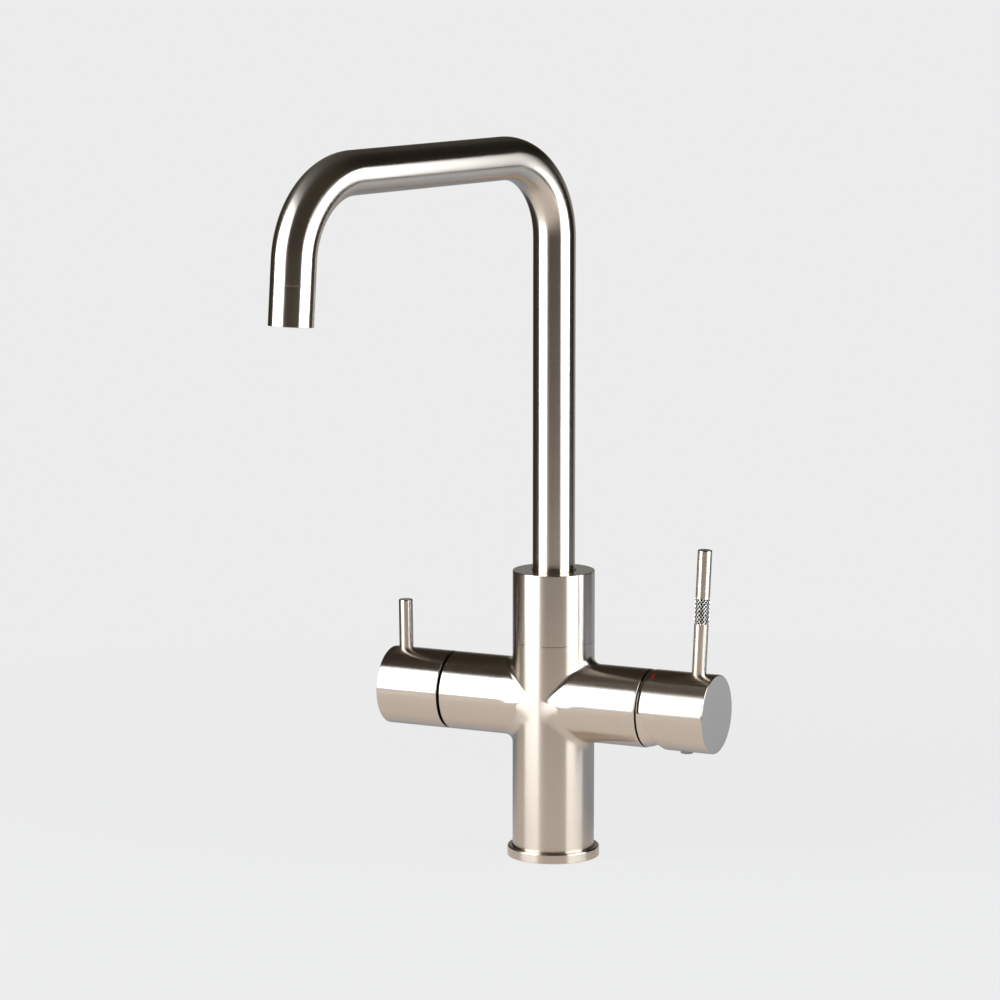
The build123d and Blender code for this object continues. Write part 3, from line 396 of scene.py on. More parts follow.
def castBodyPatches(c):
    # A ball rolls between column and bar. At angle a round the bar (0 in front, a quarter turn on
    # top) its centre is y = -B cos a, z = B sin a, x = sqrt(C^2 - y^2), with B and C the radii of
    # bar and column plus the ball's. The fillet is the arc that the ball draws between its
    # touching points, and column and bar end on those points. The casting is polished soft at
    # the front line: there the ball grows to a peak of blend / (1 + (lift / width)^2), with lift
    # the angle above the front line, and the bar swells by a bell curve of lift, which fades out
    # along the bar.
    low, high = nodeBox("tap_body")
    a = fullTurn(c["around"])
    a = a - c["gather"] * np.sin(2 * a)                # closer together in front and behind
    lift = np.degrees(np.arcsin(np.sin(a)))
    width = np.where(lift > 0, c["blendAbove"], c["blendBelow"])
    ball = (c["frontFillet"] + (c["fillet"] - c["frontFillet"]) * np.sin(a) ** 2
            + c["frontBlend"] / (1 + (lift / width) ** 2))
    swell = c["swell"] * np.exp(-(lift / c["swellSpread"]) ** 2)
    barReach, columnReach = c["barRadius"] + swell + ball, c["columnRadius"] + ball
    y, z = -barReach * np.cos(a), barReach * np.sin(a)
    x = np.sqrt(columnReach ** 2 - y ** 2)
    patches = []
    for side, line, reach, socket in ((1, rightLine, high[0], c["rightSocket"]),
                                      (-1, leftLine, -low[0], c["leftSocket"])):
        centre = np.stack([side * x, y, z], -1)
        toColumn = -np.stack([side * x, y, 0 * x], -1) / columnReach[:, None]
        toBar = -np.stack([0 * x, y, z], -1) / barReach[:, None]
        turn = np.arccos((toColumn * toBar).sum(-1))[:, None]
        t = np.linspace(0, 1, 11)[:, None, None]
        arm = (np.sin((1 - t) * turn) * toColumn + np.sin(t * turn) * toBar) / np.sin(turn)
        fillet = centre + ball[:, None] * arm
        # polished up and down in front and outwards at the top, along lines of equal bearing
        outwards = np.hypot(fillet[..., 0], fillet[..., 1]) - np.abs(fillet[..., 2])
        bearing = np.arctan2(side * fillet[..., 0], -fillet[..., 1]) * c["columnRadius"]
        grain = np.stack([fillet[..., 2], -side * fillet[..., 1], side * fillet[..., 0]], -1)
        patches.append({"points": fillet + [0, 0, barHeight], "grain": grain,
                        "brush": np.stack([outwards, bearing], -1)})
        angles = side * (math.pi / 2 - a)
        station = x + np.linspace(0, 1, 41)[:, None] ** 1.5 * (reach - c["barrelEdge"] - x)
        fading = 1 - ease(station, x, np.maximum(c["swellReach"], x + 1))
        patches.append(sweptPatch(c["barRadius"] + swell * fading, station, angles[None, :], line))
        mouth, depth, bore, boreDepth = socket
        end = roundedOutline([(c["barRadius"], reach - 2 * c["barrelEdge"]),
                              (c["barRadius"], reach, c["barrelEdge"]), (mouth, reach, c["mouthEdge"]),
                              (mouth, reach - depth), (bore, reach - depth), (bore, reach - boreDepth),
                              (0, reach - boreDepth)])[1:]
        patches.append(turnedPatch(end, angles, line))
        # the end face and bores take painted shade
        isShadedRaw = end[:-1, 0] < c["barRadius"] - c["barrelEdge"] + slack       # end face and bores
        patches[-1]["finish"] = np.where(isShadedRaw, shadedRawFinish, 0)
    # The column's halves above and below the bar start on the fillets' edges and on a narrow
    # strip between them in front and behind.
    top, halfTurn = c["seam"] - c["seamEdge"], c["around"] // 2
    t = np.linspace(0, 1, 31)[:, None]
    rims = []
    for order, end in ((np.arange(halfTurn + 1), top),
                       (np.arange(c["around"], halfTurn - 1, -1), c["foot"])):
        bearing = np.arctan2(x[order], -y[order])      # round the column, from the front
        strip = np.linspace(-bearing[0], bearing[0], c["strip"] + 1)
        rim = np.concatenate([strip, bearing, strip + math.pi, 2 * math.pi - bearing[::-1]]) - math.pi / 2
        level = barHeight + np.concatenate([0 * strip, z[order], 0 * strip, z[order][::-1]])
        patches.append(sweptPatch(c["columnRadius"], level + t * (end - level), rim[None, :], columnLine))
        rims.append(rim)
    head = roundedOutline([(c["columnRadius"], top - 1), (c["columnRadius"], c["seam"], c["seamEdge"]),
                           (c["spigotRadius"], c["seam"]), (c["spigotRadius"], high[2]),
                           (c["spigotBore"], high[2]), (c["spigotBore"], c["seam"]),
                           (c["socketRadius"], c["seam"]), (c["socketRadius"], c["socketFloor"]),
                           (0, c["socketFloor"])])
    patches.append(turnedPatch(head[1:], rims[0], columnLine))
    base = roundedOutline([(c["columnRadius"], c["foot"]), (c["columnBore"], c["foot"]),
                           (c["columnBore"], c["blockFloor"]), (0, c["blockFloor"])])
    patches.append(turnedPatch(base, rims[1], columnLine))
    return patches


makePiece("tapBodyCasting", castBodyPatches(castBody), hollow, "body", "tap_body")
print("casting made")

# Flange and collar
flange = {"lip": 1.6, "lipBore": 20.05, "bore": 23.4, "edge": 0.15, "topEdge": 0.9, "draft": 0.12,
          "grooveInner": 24.05, "grooveOuter": 25.35, "grooveDepth": 1.2}
collar = {"edge": 0.3, "seamEdge": 0.15, "mouth": 12.55, "mouthEdge": 0.25, "roof": 4.5, "bore": 14.45,
          "threadBore": 20.05, "spigotTop": 128.9}
ringSteps = 160


def flangePatches(c):
    # turned ring: the outline goes round the section, with the gasket's groove in its underside
    radius, _, height = nodeBox("base_flange")[1]
    outline = roundedOutline([(c["lipBore"], 0), (c["grooveInner"], 0), (c["grooveInner"], c["grooveDepth"]),
                              (c["grooveOuter"], c["grooveDepth"]), (c["grooveOuter"], 0),
                              (radius, 0, c["edge"]), (radius - c["draft"], height, c["topEdge"]),
                              (c["bore"], height, c["edge"]), (c["bore"], c["lip"]),
                              (c["lipBore"], c["lip"])], closed=True)
    return [turnedPatch(outline, fullTurn(ringSteps), columnLine)]


def collarPatches(c):
    # turned sleeve with a sharp upper edge, a fine edge at the seam and a mouth round the riser
    low, high = nodeBox("spout_collar")
    radius, seam, top = high[0], low[2], high[2]
    outline = roundedOutline([(c["threadBore"], seam), (radius, seam, c["seamEdge"]),
                              (radius, top, c["edge"]), (c["mouth"], top, c["mouthEdge"]),
                              (c["mouth"], top - c["roof"]),
                              (c["bore"], top - c["roof"]), (c["bore"], c["spigotTop"]),
                              (c["threadBore"], c["spigotTop"])], closed=True)
    return [turnedPatch(outline, fullTurn(ringSteps), columnLine)]


makePiece("baseFlangeRing", flangePatches(flange), brushed, "body", "base_flange")
makePiece("spoutCollarSleeve", collarPatches(collar), brushed, "body", "spout_collar")

# Spout
spout = {"swing": 13.3, "start": 127.65, "armHeight": 395.1, "armFall": 0.57, "armLength": 211.5,
         "bendRadius": 46.0, "dropLean": 4.6, "dropLength": 75.8, "radius": 11.85, "wall": 1.2,
         "sleeveHeight": 21.0, "seamEdge": 0.12, "outletEdge": 0.3, "boreEdge": 0.2, "sleeveBore": 10.2,
         "sleeveStep": 14.4, "spigotRadius": 10.6, "spigotBore": 8.6, "spigotHeight": 6.0, "around": 112}


def spoutLine(c):
    # The centre line is five stretches of constant curvature, riser, bend, arm, bend and drop.
    # Its heading is the first heading plus curvature times length, and each stretch adds its own
    # straight or arc to the place. Returns the line and the lengths of its stretches.
    swing = math.radians(c["swing"])
    outwards = np.array([-math.sin(swing), -math.cos(swing), 0])
    upwards = np.array([0.0, 0.0, 1.0])
    sideways = np.cross(outwards, upwards)
    firstTurn = math.radians(90 + c["armFall"])
    lastTurn = math.radians(90 - c["armFall"] - c["dropLean"])
    cut = [c["bendRadius"] * math.tan(turn / 2) for turn in (firstTurn, lastTurn)]
    lengths = [c["armHeight"] - c["start"] - cut[0], c["bendRadius"] * firstTurn,
               c["armLength"] - cut[0] - cut[1], c["bendRadius"] * lastTurn, c["dropLength"] - cut[1]]
    curves = [0, -1 / c["bendRadius"], 0, -1 / c["bendRadius"], 0]

    def line(station):
        reach, height = 0 * station, c["start"] + 0 * station
        heading, begin = math.pi / 2 + 0 * station, 0.0
        base = math.pi / 2
        for i, (length, curve) in enumerate(zip(lengths, curves)):
            # the first and last stretch run on past their ends
            lowest = -np.inf if i == 0 else 0
            highest = np.inf if i == len(lengths) - 1 else length
            d = np.clip(station - begin, lowest, highest)
            if curve == 0:
                reach, height = reach + d * math.cos(base), height + d * math.sin(base)
            else:
                reach = reach + (np.sin(base + curve * d) - math.sin(base)) / curve
                height = height - (np.cos(base + curve * d) - math.cos(base)) / curve
                heading = heading + curve * d
                base += curve * length
            begin += length
        centre = reach[..., None] * outwards + height[..., None] * upwards
        across = -np.sin(heading)[..., None] * outwards + np.cos(heading)[..., None] * upwards
        return centre, across, sideways
    return line, lengths


def spoutStations(lengths, start, end):
    # stations close together in the bends and wide apart on the straights
    begin = np.cumsum([0] + lengths)
    bends = [np.linspace(begin[i], begin[i + 1], 49) for i in (1, 3)]
    straights = [np.linspace(begin[i], begin[i + 1], 13) for i in (0, 2, 4)]
    stations = np.unique(np.round(np.concatenate(bends + straights), 6))
    inside = stations[(stations > start + 1) & (stations < end - 1)]
    return np.concatenate([[start], inside, [end]])


def tubePatches(c, line, lengths):
    # tube wall carried along the spout's line: outer skin, end rim, inner skin and foot rim
    end = sum(lengths) - c["sleeveHeight"]
    edge = c["seamEdge"]
    stations = spoutStations(lengths, 0, end - edge)
    outer = np.stack([np.full(stations.size, c["radius"]), stations], -1)
    inner = np.stack([np.full(stations.size, c["radius"] - c["wall"]), stations], -1)[::-1]
    t = np.linspace(0, math.pi / 2, 5)[1:]
    rim = np.stack([c["radius"] - edge + edge * np.cos(t), end - edge + edge * np.sin(t)], -1)
    back = [[c["radius"] - c["wall"], end]]
    outline = np.vstack([outer, rim, back, inner, outer[:1]])
    return [turnedPatch(outline, fullTurn(c["around"]), line)]


def sleevePatches(c, line, lengths):
    # end sleeve: outer skin, rounded outlet lip, aerator bore, step and spigot inside the tube
    end = sum(lengths)
    seam, step = end - c["sleeveHeight"], end - c["sleeveStep"]
    root = seam - c["spigotHeight"]
    outline = roundedOutline([(c["spigotRadius"], seam), (c["radius"], seam, c["seamEdge"]),
                              (c["radius"], end, c["outletEdge"]), (c["sleeveBore"], end, c["boreEdge"]),
                              (c["sleeveBore"], step), (c["spigotBore"], step), (c["spigotBore"], root),
                              (c["spigotRadius"], root)], closed=True)
    return [turnedPatch(outline, fullTurn(c["around"]), line)]


centreLine, stretchLengths = spoutLine(spout)
makePiece("spoutTubeBend", tubePatches(spout, centreLine, stretchLengths), [drawn, turned], "spout",
          "spout_tube")
makePiece("outletSleeve", sleevePatches(spout, centreLine, stretchLengths), [drawn, turned], "spout",
          "end_sleeve")
print("spout made")

# Dome cover and mixer knob
dome = {"centre": 56.0, "radius": 21.9, "wall": 1.1, "opening": 44.0, "rimBack": 59.9, "rimFront": 60.05,
        "rimEdge": 0.1, "skirtRadius": 18.95, "skirtBore": 17.25, "skirtBack": 56.55, "around": 144}
mixerKnob = {"cavity": 22.2, "cutStation": 61.8, "cutAngle": 25.5, "edge": 0.6, "edgeGap": 0.3,
             "backEdge": 0.4, "backGap": 0.2, "around": 192}


def domePatches(c):
    # Skirt and rim, then the sphere from the rim to its opening, and back along the inner sphere. A
    # sphere's point is radius * sin(polar) from the line, at station centre + radius * cos(polar).
    def sphere(radius, start, end):
        polar = np.linspace(start, end, 25)
        return np.stack([radius * np.sin(polar), c["centre"] + radius * np.cos(polar)], -1)

    def polarAt(radius, station):
        return math.acos((station - c["centre"]) / radius)
    opening = math.radians(c["opening"])
    inner = c["radius"] - c["wall"]
    rimPolar = polarAt(c["radius"], c["rimFront"])
    rimRadius = c["radius"] * math.sin(rimPolar)
    skirt = roundedOutline([(c["skirtBore"], c["skirtBack"]), (c["skirtRadius"], c["skirtBack"]),
                            (c["skirtRadius"], c["rimBack"]), (rimRadius, c["rimBack"], c["rimEdge"]),
                            (rimRadius, c["rimFront"])])
    innerOpening = math.asin(c["radius"] * math.sin(opening) / inner)
    outline = np.vstack([skirt, sphere(c["radius"], rimPolar, opening)[1:],
                         sphere(inner, innerOpening, polarAt(inner, c["rimFront"])),
                         [[c["skirtBore"], c["rimFront"]], [c["skirtBore"], c["skirtBack"]]]])
    patch = turnedPatch(outline, fullTurn(c["around"]), rightLine)
    # the skirt takes painted shade
    isShadedRaw = np.maximum(outline[:-1, 1], outline[1:, 1]) < c["rimBack"] + slack      # skirt
    patch["finish"] = np.where(isShadedRaw, shadedRawFinish, 0)
    return [patch]


def mixerKnobPatches(c):
    # A cylinder with a round cavity over the dome. Its back is cut where the station is under
    # cutStation - tan(cutAngle) * height, so every angle round the knob has an outline of its own.
    low, high = nodeBox("mixer_knob")
    radius, back, face = (high[1] - low[1]) / 2, low[0], high[0]
    angles = fullTurn(c["around"])[None, :]
    up, slope = np.cos(angles), math.tan(math.radians(c["cutAngle"]))

    def cut(reach):
        return np.maximum(back, c["cutStation"] - slope * reach * up)

    def row(reach, station):
        return reach + 0 * up, station + 0 * up
    # where the cavity's sphere meets the cut, reach^2 + (cut(reach) - centre)^2 = cavity^2
    gap = c["cutStation"] - dome["centre"]
    k = -slope * up
    rim = (-gap * k + np.sqrt((gap * k) ** 2 - (1 + k * k) * (gap ** 2 - c["cavity"] ** 2))) / (1 + k * k)
    rim = np.where(cut(rim) > back, rim, math.sqrt(c["cavity"] ** 2 - (back - dome["centre"]) ** 2))
    edge, fine = c["edge"], c["backEdge"]
    skinStart, skinEnd = face - edge - c["edgeGap"], cut(radius) + fine + c["backGap"]
    rows = [row(0, face), row(radius - edge - c["edgeGap"], face)]
    rows += [row(radius - edge + edge * math.sin(t), face - edge + edge * math.cos(t))
             for t in np.linspace(0, math.pi / 2, 7)]
    rows += [row(radius, skinStart * (1 - t) + skinEnd * t) for t in np.linspace(0, 1, 13)]
    rows += [row(radius - fine + fine * math.cos(t), cut(radius) + fine - fine * math.sin(t))
             for t in np.linspace(0, math.pi / 2, 5)[:-1]]
    cutRow = len(rows) - 1
    inwards = [radius - fine + (rim - radius + fine) * t for t in (0, 0.4, 0.8, 1)]
    rows += [row(reach, cut(reach)) for reach in inwards]
    polar = np.arctan2(rim, cut(rim) - dome["centre"])
    rows += [row(c["cavity"] * np.sin(polar * t), dome["centre"] + c["cavity"] * np.cos(polar * t))
             for t in np.linspace(1, 0, 21)[1:]]
    reach, station = (np.concatenate([pair[i] for pair in rows]) for i in (0, 1))
    patch = sweptPatch(reach, station, angles, rightLine)
    # the cut and cavity take painted shade
    isShadedRaw = np.arange(len(rows) - 1) > cutRow                                   # cut and cavity
    patch["finish"] = np.where(isShadedRaw, shadedRawFinish, patch["finish"])
    return [patch]


polished = satinNickel("polishedNickelDome", polishedNickel)
makePiece("domeCoverShell", domePatches(dome), [polished, turned, finishes["castPaintedShade"]], "body",
          "dome_cover")
makePiece("mixerKnobBody", mixerKnobPatches(mixerKnob), hollow, "mixer_handle", "mixer_knob")

# Colour marks and the plug under the knob
mark = {"station": 64.7, "width": 1.5, "sweep": 14.0, "angle": 22.5, "proud": 0.04, "depth": 0.35}
plug = {"station": 81.6, "radius": 3.6, "floor": 18.85, "proud": 1.3, "edge": 0.6}
knobRadius = 22.05


def markPatches(c, middle):
    # a thin curved bar: its four-sided section swept over a short angle, with a flat at each end
    inner, outer = knobRadius - c["depth"], knobRadius + c["proud"]
    back, front = c["station"] - c["width"] / 2, c["station"] + c["width"] / 2
    section = np.array([[inner, back], [outer, back], [outer, front], [inner, front], [inner, back]])
    half = c["sweep"] / 2
    angles = np.radians(np.linspace(middle - half, middle + half, 17))
    ends = [sweptPatch(np.array([[inner, inner], [outer, outer]]), np.array([[back, front], [back, front]]),
                       np.full((2, 2), angle), rightLine) for angle in angles[[0, -1]]]
    return [turnedPatch(section, angles, rightLine)] + ends


def plugPatches(c):
    # moulded plug with a rounded end, turned round a line that points down, pushed in from below
    top = knobRadius + c["proud"]
    line = straightLine((c["station"], 0, barHeight), (1, 0, 0), (0, -1, 0))
    outline = roundedOutline([(0, c["floor"]), (c["radius"], c["floor"]), (c["radius"], top, c["edge"]),
                              (0, top)])
    return [turnedPatch(outline, fullTurn(48), line)]


makePiece("hotMarkEnamel", markPatches(mark, mark["angle"]), [finishes["mark_red"]], "mixer_handle",
          "hot_mark")
makePiece("coldMarkEnamel", markPatches(mark, -mark["angle"]), [finishes["mark_blue"]], "mixer_handle",
          "cold_mark")
makePiece("grubPlugCap", plugPatches(plug), [finishes["plug_grey"]], "mixer_handle", "grub_plug")

# Levers
mixerLever = {"reach": 88.5, "lean": 2.48, "length": 69.4, "seat": 9.0, "radius": 4.0, "tipEdge": 0.5,
              "knurlStart": 28.4, "knurlLength": 14.4, "knurlCount": 14, "knurlPitch": 2.4, "knurlFade": 0.3,
              "knurlProud": 0.12, "knurlDepth": 0.3, "knurlPit": 0.6, "knurlTop": 0.85, "ridgeSteps": 12}
# near-black painted shade in the pits and near-white painted highlight on the ridges
knurlPaintedLight = {"paintedPitShade": "#0d0b0a", "paintedRidgeHighlight": "#fff6ea", "roughness": 0.2}
boilingLever = {"reach": 92.6, "lean": 0.84, "length": 27.8, "seat": 9.0, "radius": 4.0, "tipEdge": 0.5}


def leverLine(c, side):
    # the rod leaves the knob's top and leans away from the column
    lean = math.radians(c["lean"])
    across = (side * math.cos(lean), 0, -math.sin(lean))
    sideways = np.cross((side * math.sin(lean), 0, math.cos(lean)), across)
    return straightLine((side * c["reach"], 0, barHeight + knobRadius), across, sideways)


def boilingLeverPatches(c):
    # plain rod with a small rounded edge at its tip
    outline = roundedOutline([(0, -c["seat"]), (c["radius"], -c["seat"]),
                              (c["radius"], c["length"], c["tipEdge"]), (0, c["length"])])
    return [turnedPatch(outline, fullTurn(96), leverLine(c, -1))]


def mixerLeverPatches(c):
    # A rod whose grip band is a net of two crossing families of ridges. Each family counts
    # turns = count * angle / 360 +- height / pitch. Its ridges stand at whole turns, with the
    # profile of a smooth step each side, and the higher of both families leaves diamond pits.
    # The real net is finer, with about 20 ridges round; it is drawn coarser so that it shows.
    angles = fullTurn(c["ridgeSteps"] * c["knurlCount"])[None, :]
    start, end = c["knurlStart"], c["knurlStart"] + c["knurlLength"]
    steps = round(c["ridgeSteps"] * c["knurlLength"] / c["knurlPitch"])
    height = np.linspace(start, end, steps + 1)[:, None]
    turns = c["knurlCount"] * angles / (2 * math.pi)
    near = [np.abs(2 * ((turns + sign * height / c["knurlPitch"]) % 1) - 1) for sign in (1, -1)]
    net = ease(np.maximum(*near), c["knurlPit"], c["knurlTop"])
    fade = np.clip(np.minimum(height - start, end - height) / c["knurlFade"], 0, 1)
    band = c["radius"] + fade * ((c["knurlProud"] + c["knurlDepth"]) * net - c["knurlDepth"])
    lower = roundedOutline([(0, -c["seat"]), (c["radius"], -c["seat"]), (c["radius"], start)])
    upper = roundedOutline([(c["radius"], end), (c["radius"], c["length"], c["tipEdge"]), (0, c["length"])])
    line = leverLine(c, 1)
    grip = sweptPatch(band, height, angles, line)
    patches = [turnedPatch(lower, angles[0], line), grip, turnedPatch(upper, angles[0], line)]
    for patch in patches:
        patch["finish"] = np.full(len(patch["points"]) - 1, patch is grip)      # the knurled one
    return patches


knurled = knurledNickelPaintedLight("knurledNickelPaintedLight", knurlPaintedLight, mixerLever["radius"] - mixerLever["knurlDepth"],
                        mixerLever["radius"] + mixerLever["knurlProud"])
makePiece("mixerLeverRod", mixerLeverPatches(mixerLever), [drawn, knurled], "mixer_handle", "mixer_lever")
makePiece("boilingLeverRod", boilingLeverPatches(boilingLever), [drawn, turned], "boiling_handle",
          "boiling_lever")

# Boiling water knob
boilingKnob = {"pocket": 18.5, "pocketDepth": 13.0, "pocketEdge": 0.2, "hole": 7.55, "holeEnd": 88.6,
               "backEdge": 0.5, "edge": 0.6}


def boilingKnobPatches(c):
    # turned knob, hollow at its back for the spring
    low, high = nodeBox("boiling_knob")
    back, face = -high[0], -low[0]
    floor = back + c["pocketDepth"]
    outline = roundedOutline([(0, c["holeEnd"]), (c["hole"], c["holeEnd"]), (c["hole"], floor),
                              (c["pocket"], floor), (c["pocket"], back, c["pocketEdge"]),
                              (knobRadius, back, c["backEdge"]), (knobRadius, face, c["edge"]), (0, face)])
    return [turnedPatch(outline, fullTurn(ringSteps), leftLine)]


def springPatches(c):
    # Steel wire wound round the bar's line: the wire's centre at turn t is radius * (cos 2 pi t,
    # sin 2 pi t) across and start + pitch * t along.
    low, high = nodeBox("push_spring")
    start, length = -high[0] + c["wire"], high[0] - low[0] - 2 * c["wire"]
    origin, up, sideways = (np.array(v, float) for v in ((0, 0, barHeight), (0, 0, 1), (0, 1, 0)))
    outwards = np.cross(up, sideways)

    def line(turn):
        swing = 2 * math.pi * turn[..., None]
        across = np.cos(swing) * up + np.sin(swing) * sideways
        centre = origin + c["radius"] * across + (start + length * turn[..., None] / c["turns"]) * outwards
        return centre, across, outwards + 0 * across
    turn = np.concatenate([[0], np.linspace(0, c["turns"], 32 * c["turns"] + 1), [c["turns"]]])[:, None]
    wire = np.concatenate([[0], np.full(len(turn) - 2, c["wire"]), [0]])[:, None]
    return [sweptPatch(wire, turn, fullTurn(12)[None, :], line)]


spring = {"radius": 9.6, "wire": 0.6, "turns": 6, "travel": 1.4}
coil = makePiece("pushSpringCoil", springPatches(spring), [finishes["steel"]], "boiling_spindle",
                 "push_spring")
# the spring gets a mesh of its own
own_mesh(coil)
makePiece("boilingKnobBody", boilingKnobPatches(boilingKnob), brushed, "boiling_handle", "boiling_knob")
print("knobs and levers made")

# Studio: a pale floor, two softboxes and the dark room round them, in metres. Bearings are degrees
# from the front, rightwards positive, and a pair gives where a change starts and ends.
paper = "#ececec"
floorLight = {"size": 60.0, "below": 0.0002, "litInView": 0.05, "litSpan": (0.15, 0.7), "litInMetal": 0.4,
              "reflected": "#f8f1e8", "shade": "#b5c1d1", "shadeSpan": (0, 0.6), "shadeStrength": (0.7, 1.8),
              "behindSpan": (-0.02, 0.1)}
room = {"radius": 3.4, "lift": 0.002, "tableFront": 0.85, "tableSide": 0.45, "tableBehind": 0.8,
        "frontFromLeft": (-92, -40), "frontToRight": (80, 96), "behind": (118, 130),
        "front": "#47443d", "frontLow": "#48453f", "lowRise": (2, 14), "leftBack": "#3a372f",
        "leftTurn": (60, 115), "rightBack": "#201e1a", "rightTurn": (95, 130), "top": "#403e39",
        "topRise": (50, 80), "sweep": "#adaeae", "sweepBearing": -168.0, "sweepSides": (29, 39),
        "sweepRise": (11, 17)}
hemSoftness, topSoftness = 0.01, 0.05
softboxes = {
    "leftSoftbox": {"ends": ((-0.170, -0.832), (-0.732, -0.369)), "bottom": 0.025, "top": 0.96,
                    "softSides": (0.13, 0.04), "hem": 0.03, "radiance": 7.0, "tint": "#e3f1ff"},
    "rightSoftbox": {"ends": ((0.544, 0.254), (1.347, -0.747)), "bottom": 0.02, "top": 0.66,
                     "softSides": (0.05, 0.05), "hem": 0.03, "radiance": 7.0, "tint": "#e3f1ff"},
    # what the left softbox spills on the paper's front edge
    "spill": {"ends": ((0.118, -0.840), (-0.345, -0.775)), "bottom": 0.0, "top": 0.11,
              "softSides": (0.40, 0.08), "hem": 0.0, "radiance": 1.7, "tint": "#f3f4f4"},
}


def stageMesh(name, points, material, tone=None):
    # a grid of points in metres as a stage object, with an optional colour at each point
    mesh = bpy.data.meshes.new(name)
    mesh.from_pydata(points.reshape(-1, 3), [], gridFaces(*points.shape[:2]))
    if tone is not None:
        toneData = mesh.attributes.new("tone", "FLOAT_COLOR", "POINT")
        toneData.data.foreach_set("color", np.ascontiguousarray(tone, dtype=np.float32).ravel())
    mesh.materials.append(material)
    made = bpy.data.objects.new(name, mesh)
    scene.collection.objects.link(made)
    return made


def floorPaper(c):
    # Pale matt paper, even to the camera. Close to the tap a twentieth of it is really lit, which
    # keeps the tap's shadow. In reflections four tenths of it is lit, and behind the tap it lies in
    # bluish shade.
    material, tree = newMaterial("floorPaper")
    lit = addNode(tree, "BsdfDiffuse", {}, {"Color": linearColour(paper)})
    even = addNode(tree, "Emission", {}, {"Color": linearColour(paper)})
    warm = addNode(tree, "Emission", {}, {"Color": linearColour(c["reflected"])})
    path = addNode(tree, "LightPath")
    place = addNode(tree, "TexCoord")
    axes = addNode(tree, "SeparateXYZ", {}, {0: place.outputs["Object"]})
    # the shade is lighter towards the right softbox
    strength = addNode(tree, "MapRange", {}, {
        "Value": axes.outputs["X"], "From Min": c["shadeSpan"][0], "From Max": c["shadeSpan"][1],
        "To Min": c["shadeStrength"][0], "To Max": c["shadeStrength"][1]})
    shade = addNode(tree, "Emission", {}, {"Color": linearColour(c["shade"]),
                                           "Strength": strength.outputs[0]})
    distance = addNode(tree, "VectorMath", {"operation": "LENGTH"}, {0: place.outputs["Object"]})
    evenInView = addNode(tree, "MapRange", {}, {
        "Value": distance.outputs["Value"], "From Min": c["litSpan"][0], "From Max": c["litSpan"][1],
        "To Min": 1 - c["litInView"], "To Max": 1})
    reflected = addNode(tree, "Math", {"operation": "MAXIMUM"}, {0: path.outputs["Is Glossy Ray"],
                                                                 1: path.outputs["Is Transmission Ray"]})
    viewShare = addNode(tree, "Math", {"operation": "MULTIPLY"}, {0: path.outputs["Is Camera Ray"],
                                                                  1: evenInView.outputs[0]})
    share = addNode(tree, "Math", {"operation": "MULTIPLY_ADD"}, {
        0: reflected.outputs[0], 1: 1 - c["litInMetal"], 2: viewShare.outputs[0]})
    flat = addNode(tree, "MixShader", {}, {0: reflected.outputs[0], 1: even.outputs[0], 2: warm.outputs[0]})
    front = addNode(tree, "MixShader", {}, {0: share.outputs[0], 1: lit.outputs[0], 2: flat.outputs[0]})
    behind = addNode(tree, "MapRange", {}, {"Value": axes.outputs["Y"], "From Min": c["behindSpan"][0],
                                            "From Max": c["behindSpan"][1]})
    shaded = addNode(tree, "Math", {"operation": "MULTIPLY"}, {0: behind.outputs[0], 1: reflected.outputs[0]})
    finishMaterial(tree, addNode(tree, "MixShader", {}, {0: shaded.outputs[0], 1: front.outputs[0],
                                                         2: shade.outputs[0]}))
    return material


def glowing(name):
    # shows the colour stored at each point, on the side that faces the tap
    material, tree = newMaterial(name)
    tone = addNode(tree, "Attribute", {"attribute_name": "tone"})
    side = addNode(tree, "NewGeometry")
    facing = addNode(tree, "Math", {"operation": "SUBTRACT"}, {0: 1, 1: side.outputs["Backfacing"]})
    finishMaterial(tree, addNode(tree, "Emission", {}, {"Color": tone.outputs["Color"],
                                                        "Strength": facing.outputs[0]}))
    return material


def roomTone(c, bearing, rise):
    # The room's colour by bearing and elevation in degrees: front, left back and right back run
    # into each other round the room, the top is even, and a pale sweep stands behind the tap. Each
    # step mixes the colour so far with the next tone by a smooth share.
    away = np.abs((bearing - c["sweepBearing"] + 180) % 360 - 180)
    steps = (("frontLow", 1 - ease(rise, *c["lowRise"])), ("leftBack", ease(-bearing, *c["leftTurn"])),
             ("rightBack", ease(bearing, *c["rightTurn"])), ("top", ease(rise, *c["topRise"])),
             ("sweep", (1 - ease(away, *c["sweepSides"])) * (1 - ease(rise, *c["sweepRise"]))))
    colour = np.array(linearColour(c["front"]))
    for name, share in steps:
        colour = colour + share[..., None] * (np.array(linearColour(c[name])) - colour)
    return colour


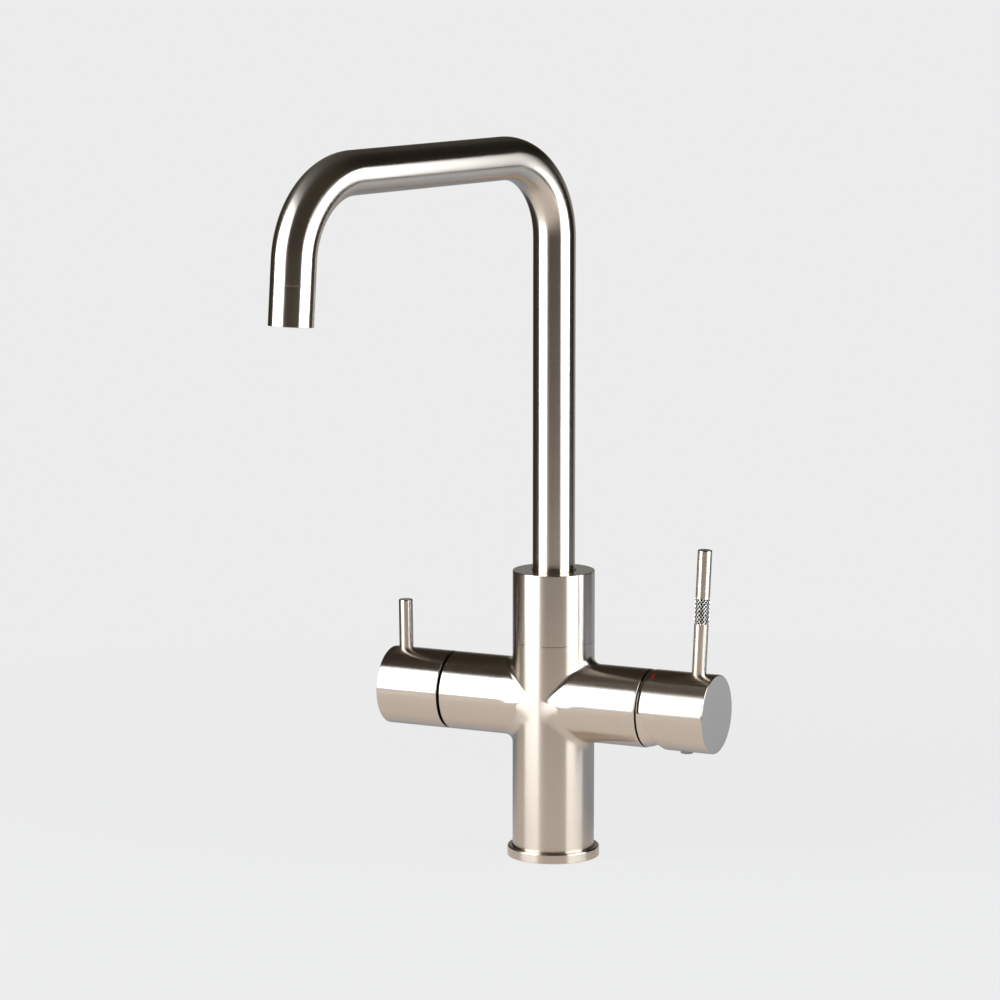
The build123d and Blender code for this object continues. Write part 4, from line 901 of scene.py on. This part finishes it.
def roomGrid(c):
    # A half dome that ends on a flat ring round the lit table: a point's reach runs from the table's
    # edge to the room's radius, then is radius * cos(climb), at height radius * sin(climb).
    bearing = np.linspace(180, -180, 145)[None, :]
    isFront = ease(bearing, *c["frontFromLeft"]) * (1 - ease(bearing, *c["frontToRight"]))
    isBehind = ease(np.abs(bearing), *c["behind"])
    table = (c["tableSide"] + isFront * (c["tableFront"] - c["tableSide"])
             + isBehind * (c["tableBehind"] - c["tableSide"]))
    ring = np.linspace(0, 1, 12)[:-1, None]
    climb = np.linspace(0, math.pi / 2, 46)[:, None]
    reach = np.concatenate([table + ring * (c["radius"] - table), c["radius"] * np.cos(climb) + 0 * table])
    height = np.concatenate([0 * ring, c["radius"] * np.sin(climb)]) + c["lift"]
    points = np.stack(np.broadcast_arrays(reach * np.sin(np.radians(bearing)),
                                          -reach * np.cos(np.radians(bearing)), height), -1)
    rise = np.degrees(np.arctan2(height, reach))
    return points, roomTone(c, *np.broadcast_arrays(bearing, rise))


half = floorLight["size"] / 2
floorPoints = np.array([[[x, y, -floorLight["below"]] for x in (-half, half)] for y in (-half, half)])
stageMesh("floor", floorPoints, floorPaper(floorLight))

# Only reflections see the room.
roomPoints, roomColours = roomGrid(room)
walls = stageMesh("darkRoom", roomPoints, glowing("roomWalls"), roomColours)
walls.data.materials[0].cycles.emission_sampling = "NONE"
walls.visible_camera = walls.visible_diffuse = walls.visible_shadow = False


def softboxGrid(c):
    # An upright panel between its two ends: start + across * (end - start), from bottom to top. Its
    # light is the radiance times a smooth fade at each side, at the hem and at the top.
    start, end = (np.array([*corner, 0.0]) for corner in c["ends"])
    width, height = np.linalg.norm(end - start), c["top"] - c["bottom"]
    across = np.linspace(0, width, 49)[None, :]
    up = np.linspace(0, height, 49)[:, None]
    points = start + (across / width)[..., None] * (end - start) + (c["bottom"] + up)[..., None] * [0, 0, 1]
    softStart, softEnd = c["softSides"]
    fade = ease(across, 0, softStart) * ease(width - across, 0, softEnd)
    fade = fade * ease(up, c["hem"], c["hem"] + hemSoftness) * ease(height - up, 0, topSoftness)
    return points, np.array(linearColour(c["tint"])) * c["radiance"] * fade[..., None]


for panelName, softbox in softboxes.items():
    panelPoints, panelLight = softboxGrid(softbox)
    panel = stageMesh(panelName, panelPoints, glowing(panelName + "Cloth"), panelLight)
    panel.visible_camera = False

# outside the room everything is the same pale paper, and little of it lights the tap
worldFill = {"tint": "#fff6ea", "strength": 0.15}
world = bpy.data.worlds.new("world")
world.use_nodes = True
scene.world = world
world.node_tree.nodes.clear()
path = addNode(world.node_tree, "LightPath")
direct = addNode(world.node_tree, "Math", {"operation": "ADD"}, {0: path.outputs["Is Camera Ray"],
                                                                 1: path.outputs["Is Glossy Ray"]})
direct = addNode(world.node_tree, "Math", {"operation": "ADD", "use_clamp": True},
                 {0: direct.outputs[0], 1: path.outputs["Is Transmission Ray"]})
seen = addNode(world.node_tree, "Background", {}, {"Color": linearColour(paper), "Strength": 1})
fill = addNode(world.node_tree, "Background", {}, {"Color": linearColour(worldFill["tint"]),
                                                   "Strength": worldFill["strength"]})
mixed = addNode(world.node_tree, "MixShader", {}, {0: direct.outputs[0], 1: fill.outputs[0],
                                                   2: seen.outputs[0]})
addNode(world.node_tree, "OutputWorld", {}, {"Surface": mixed.outputs[0]})
print("studio made")
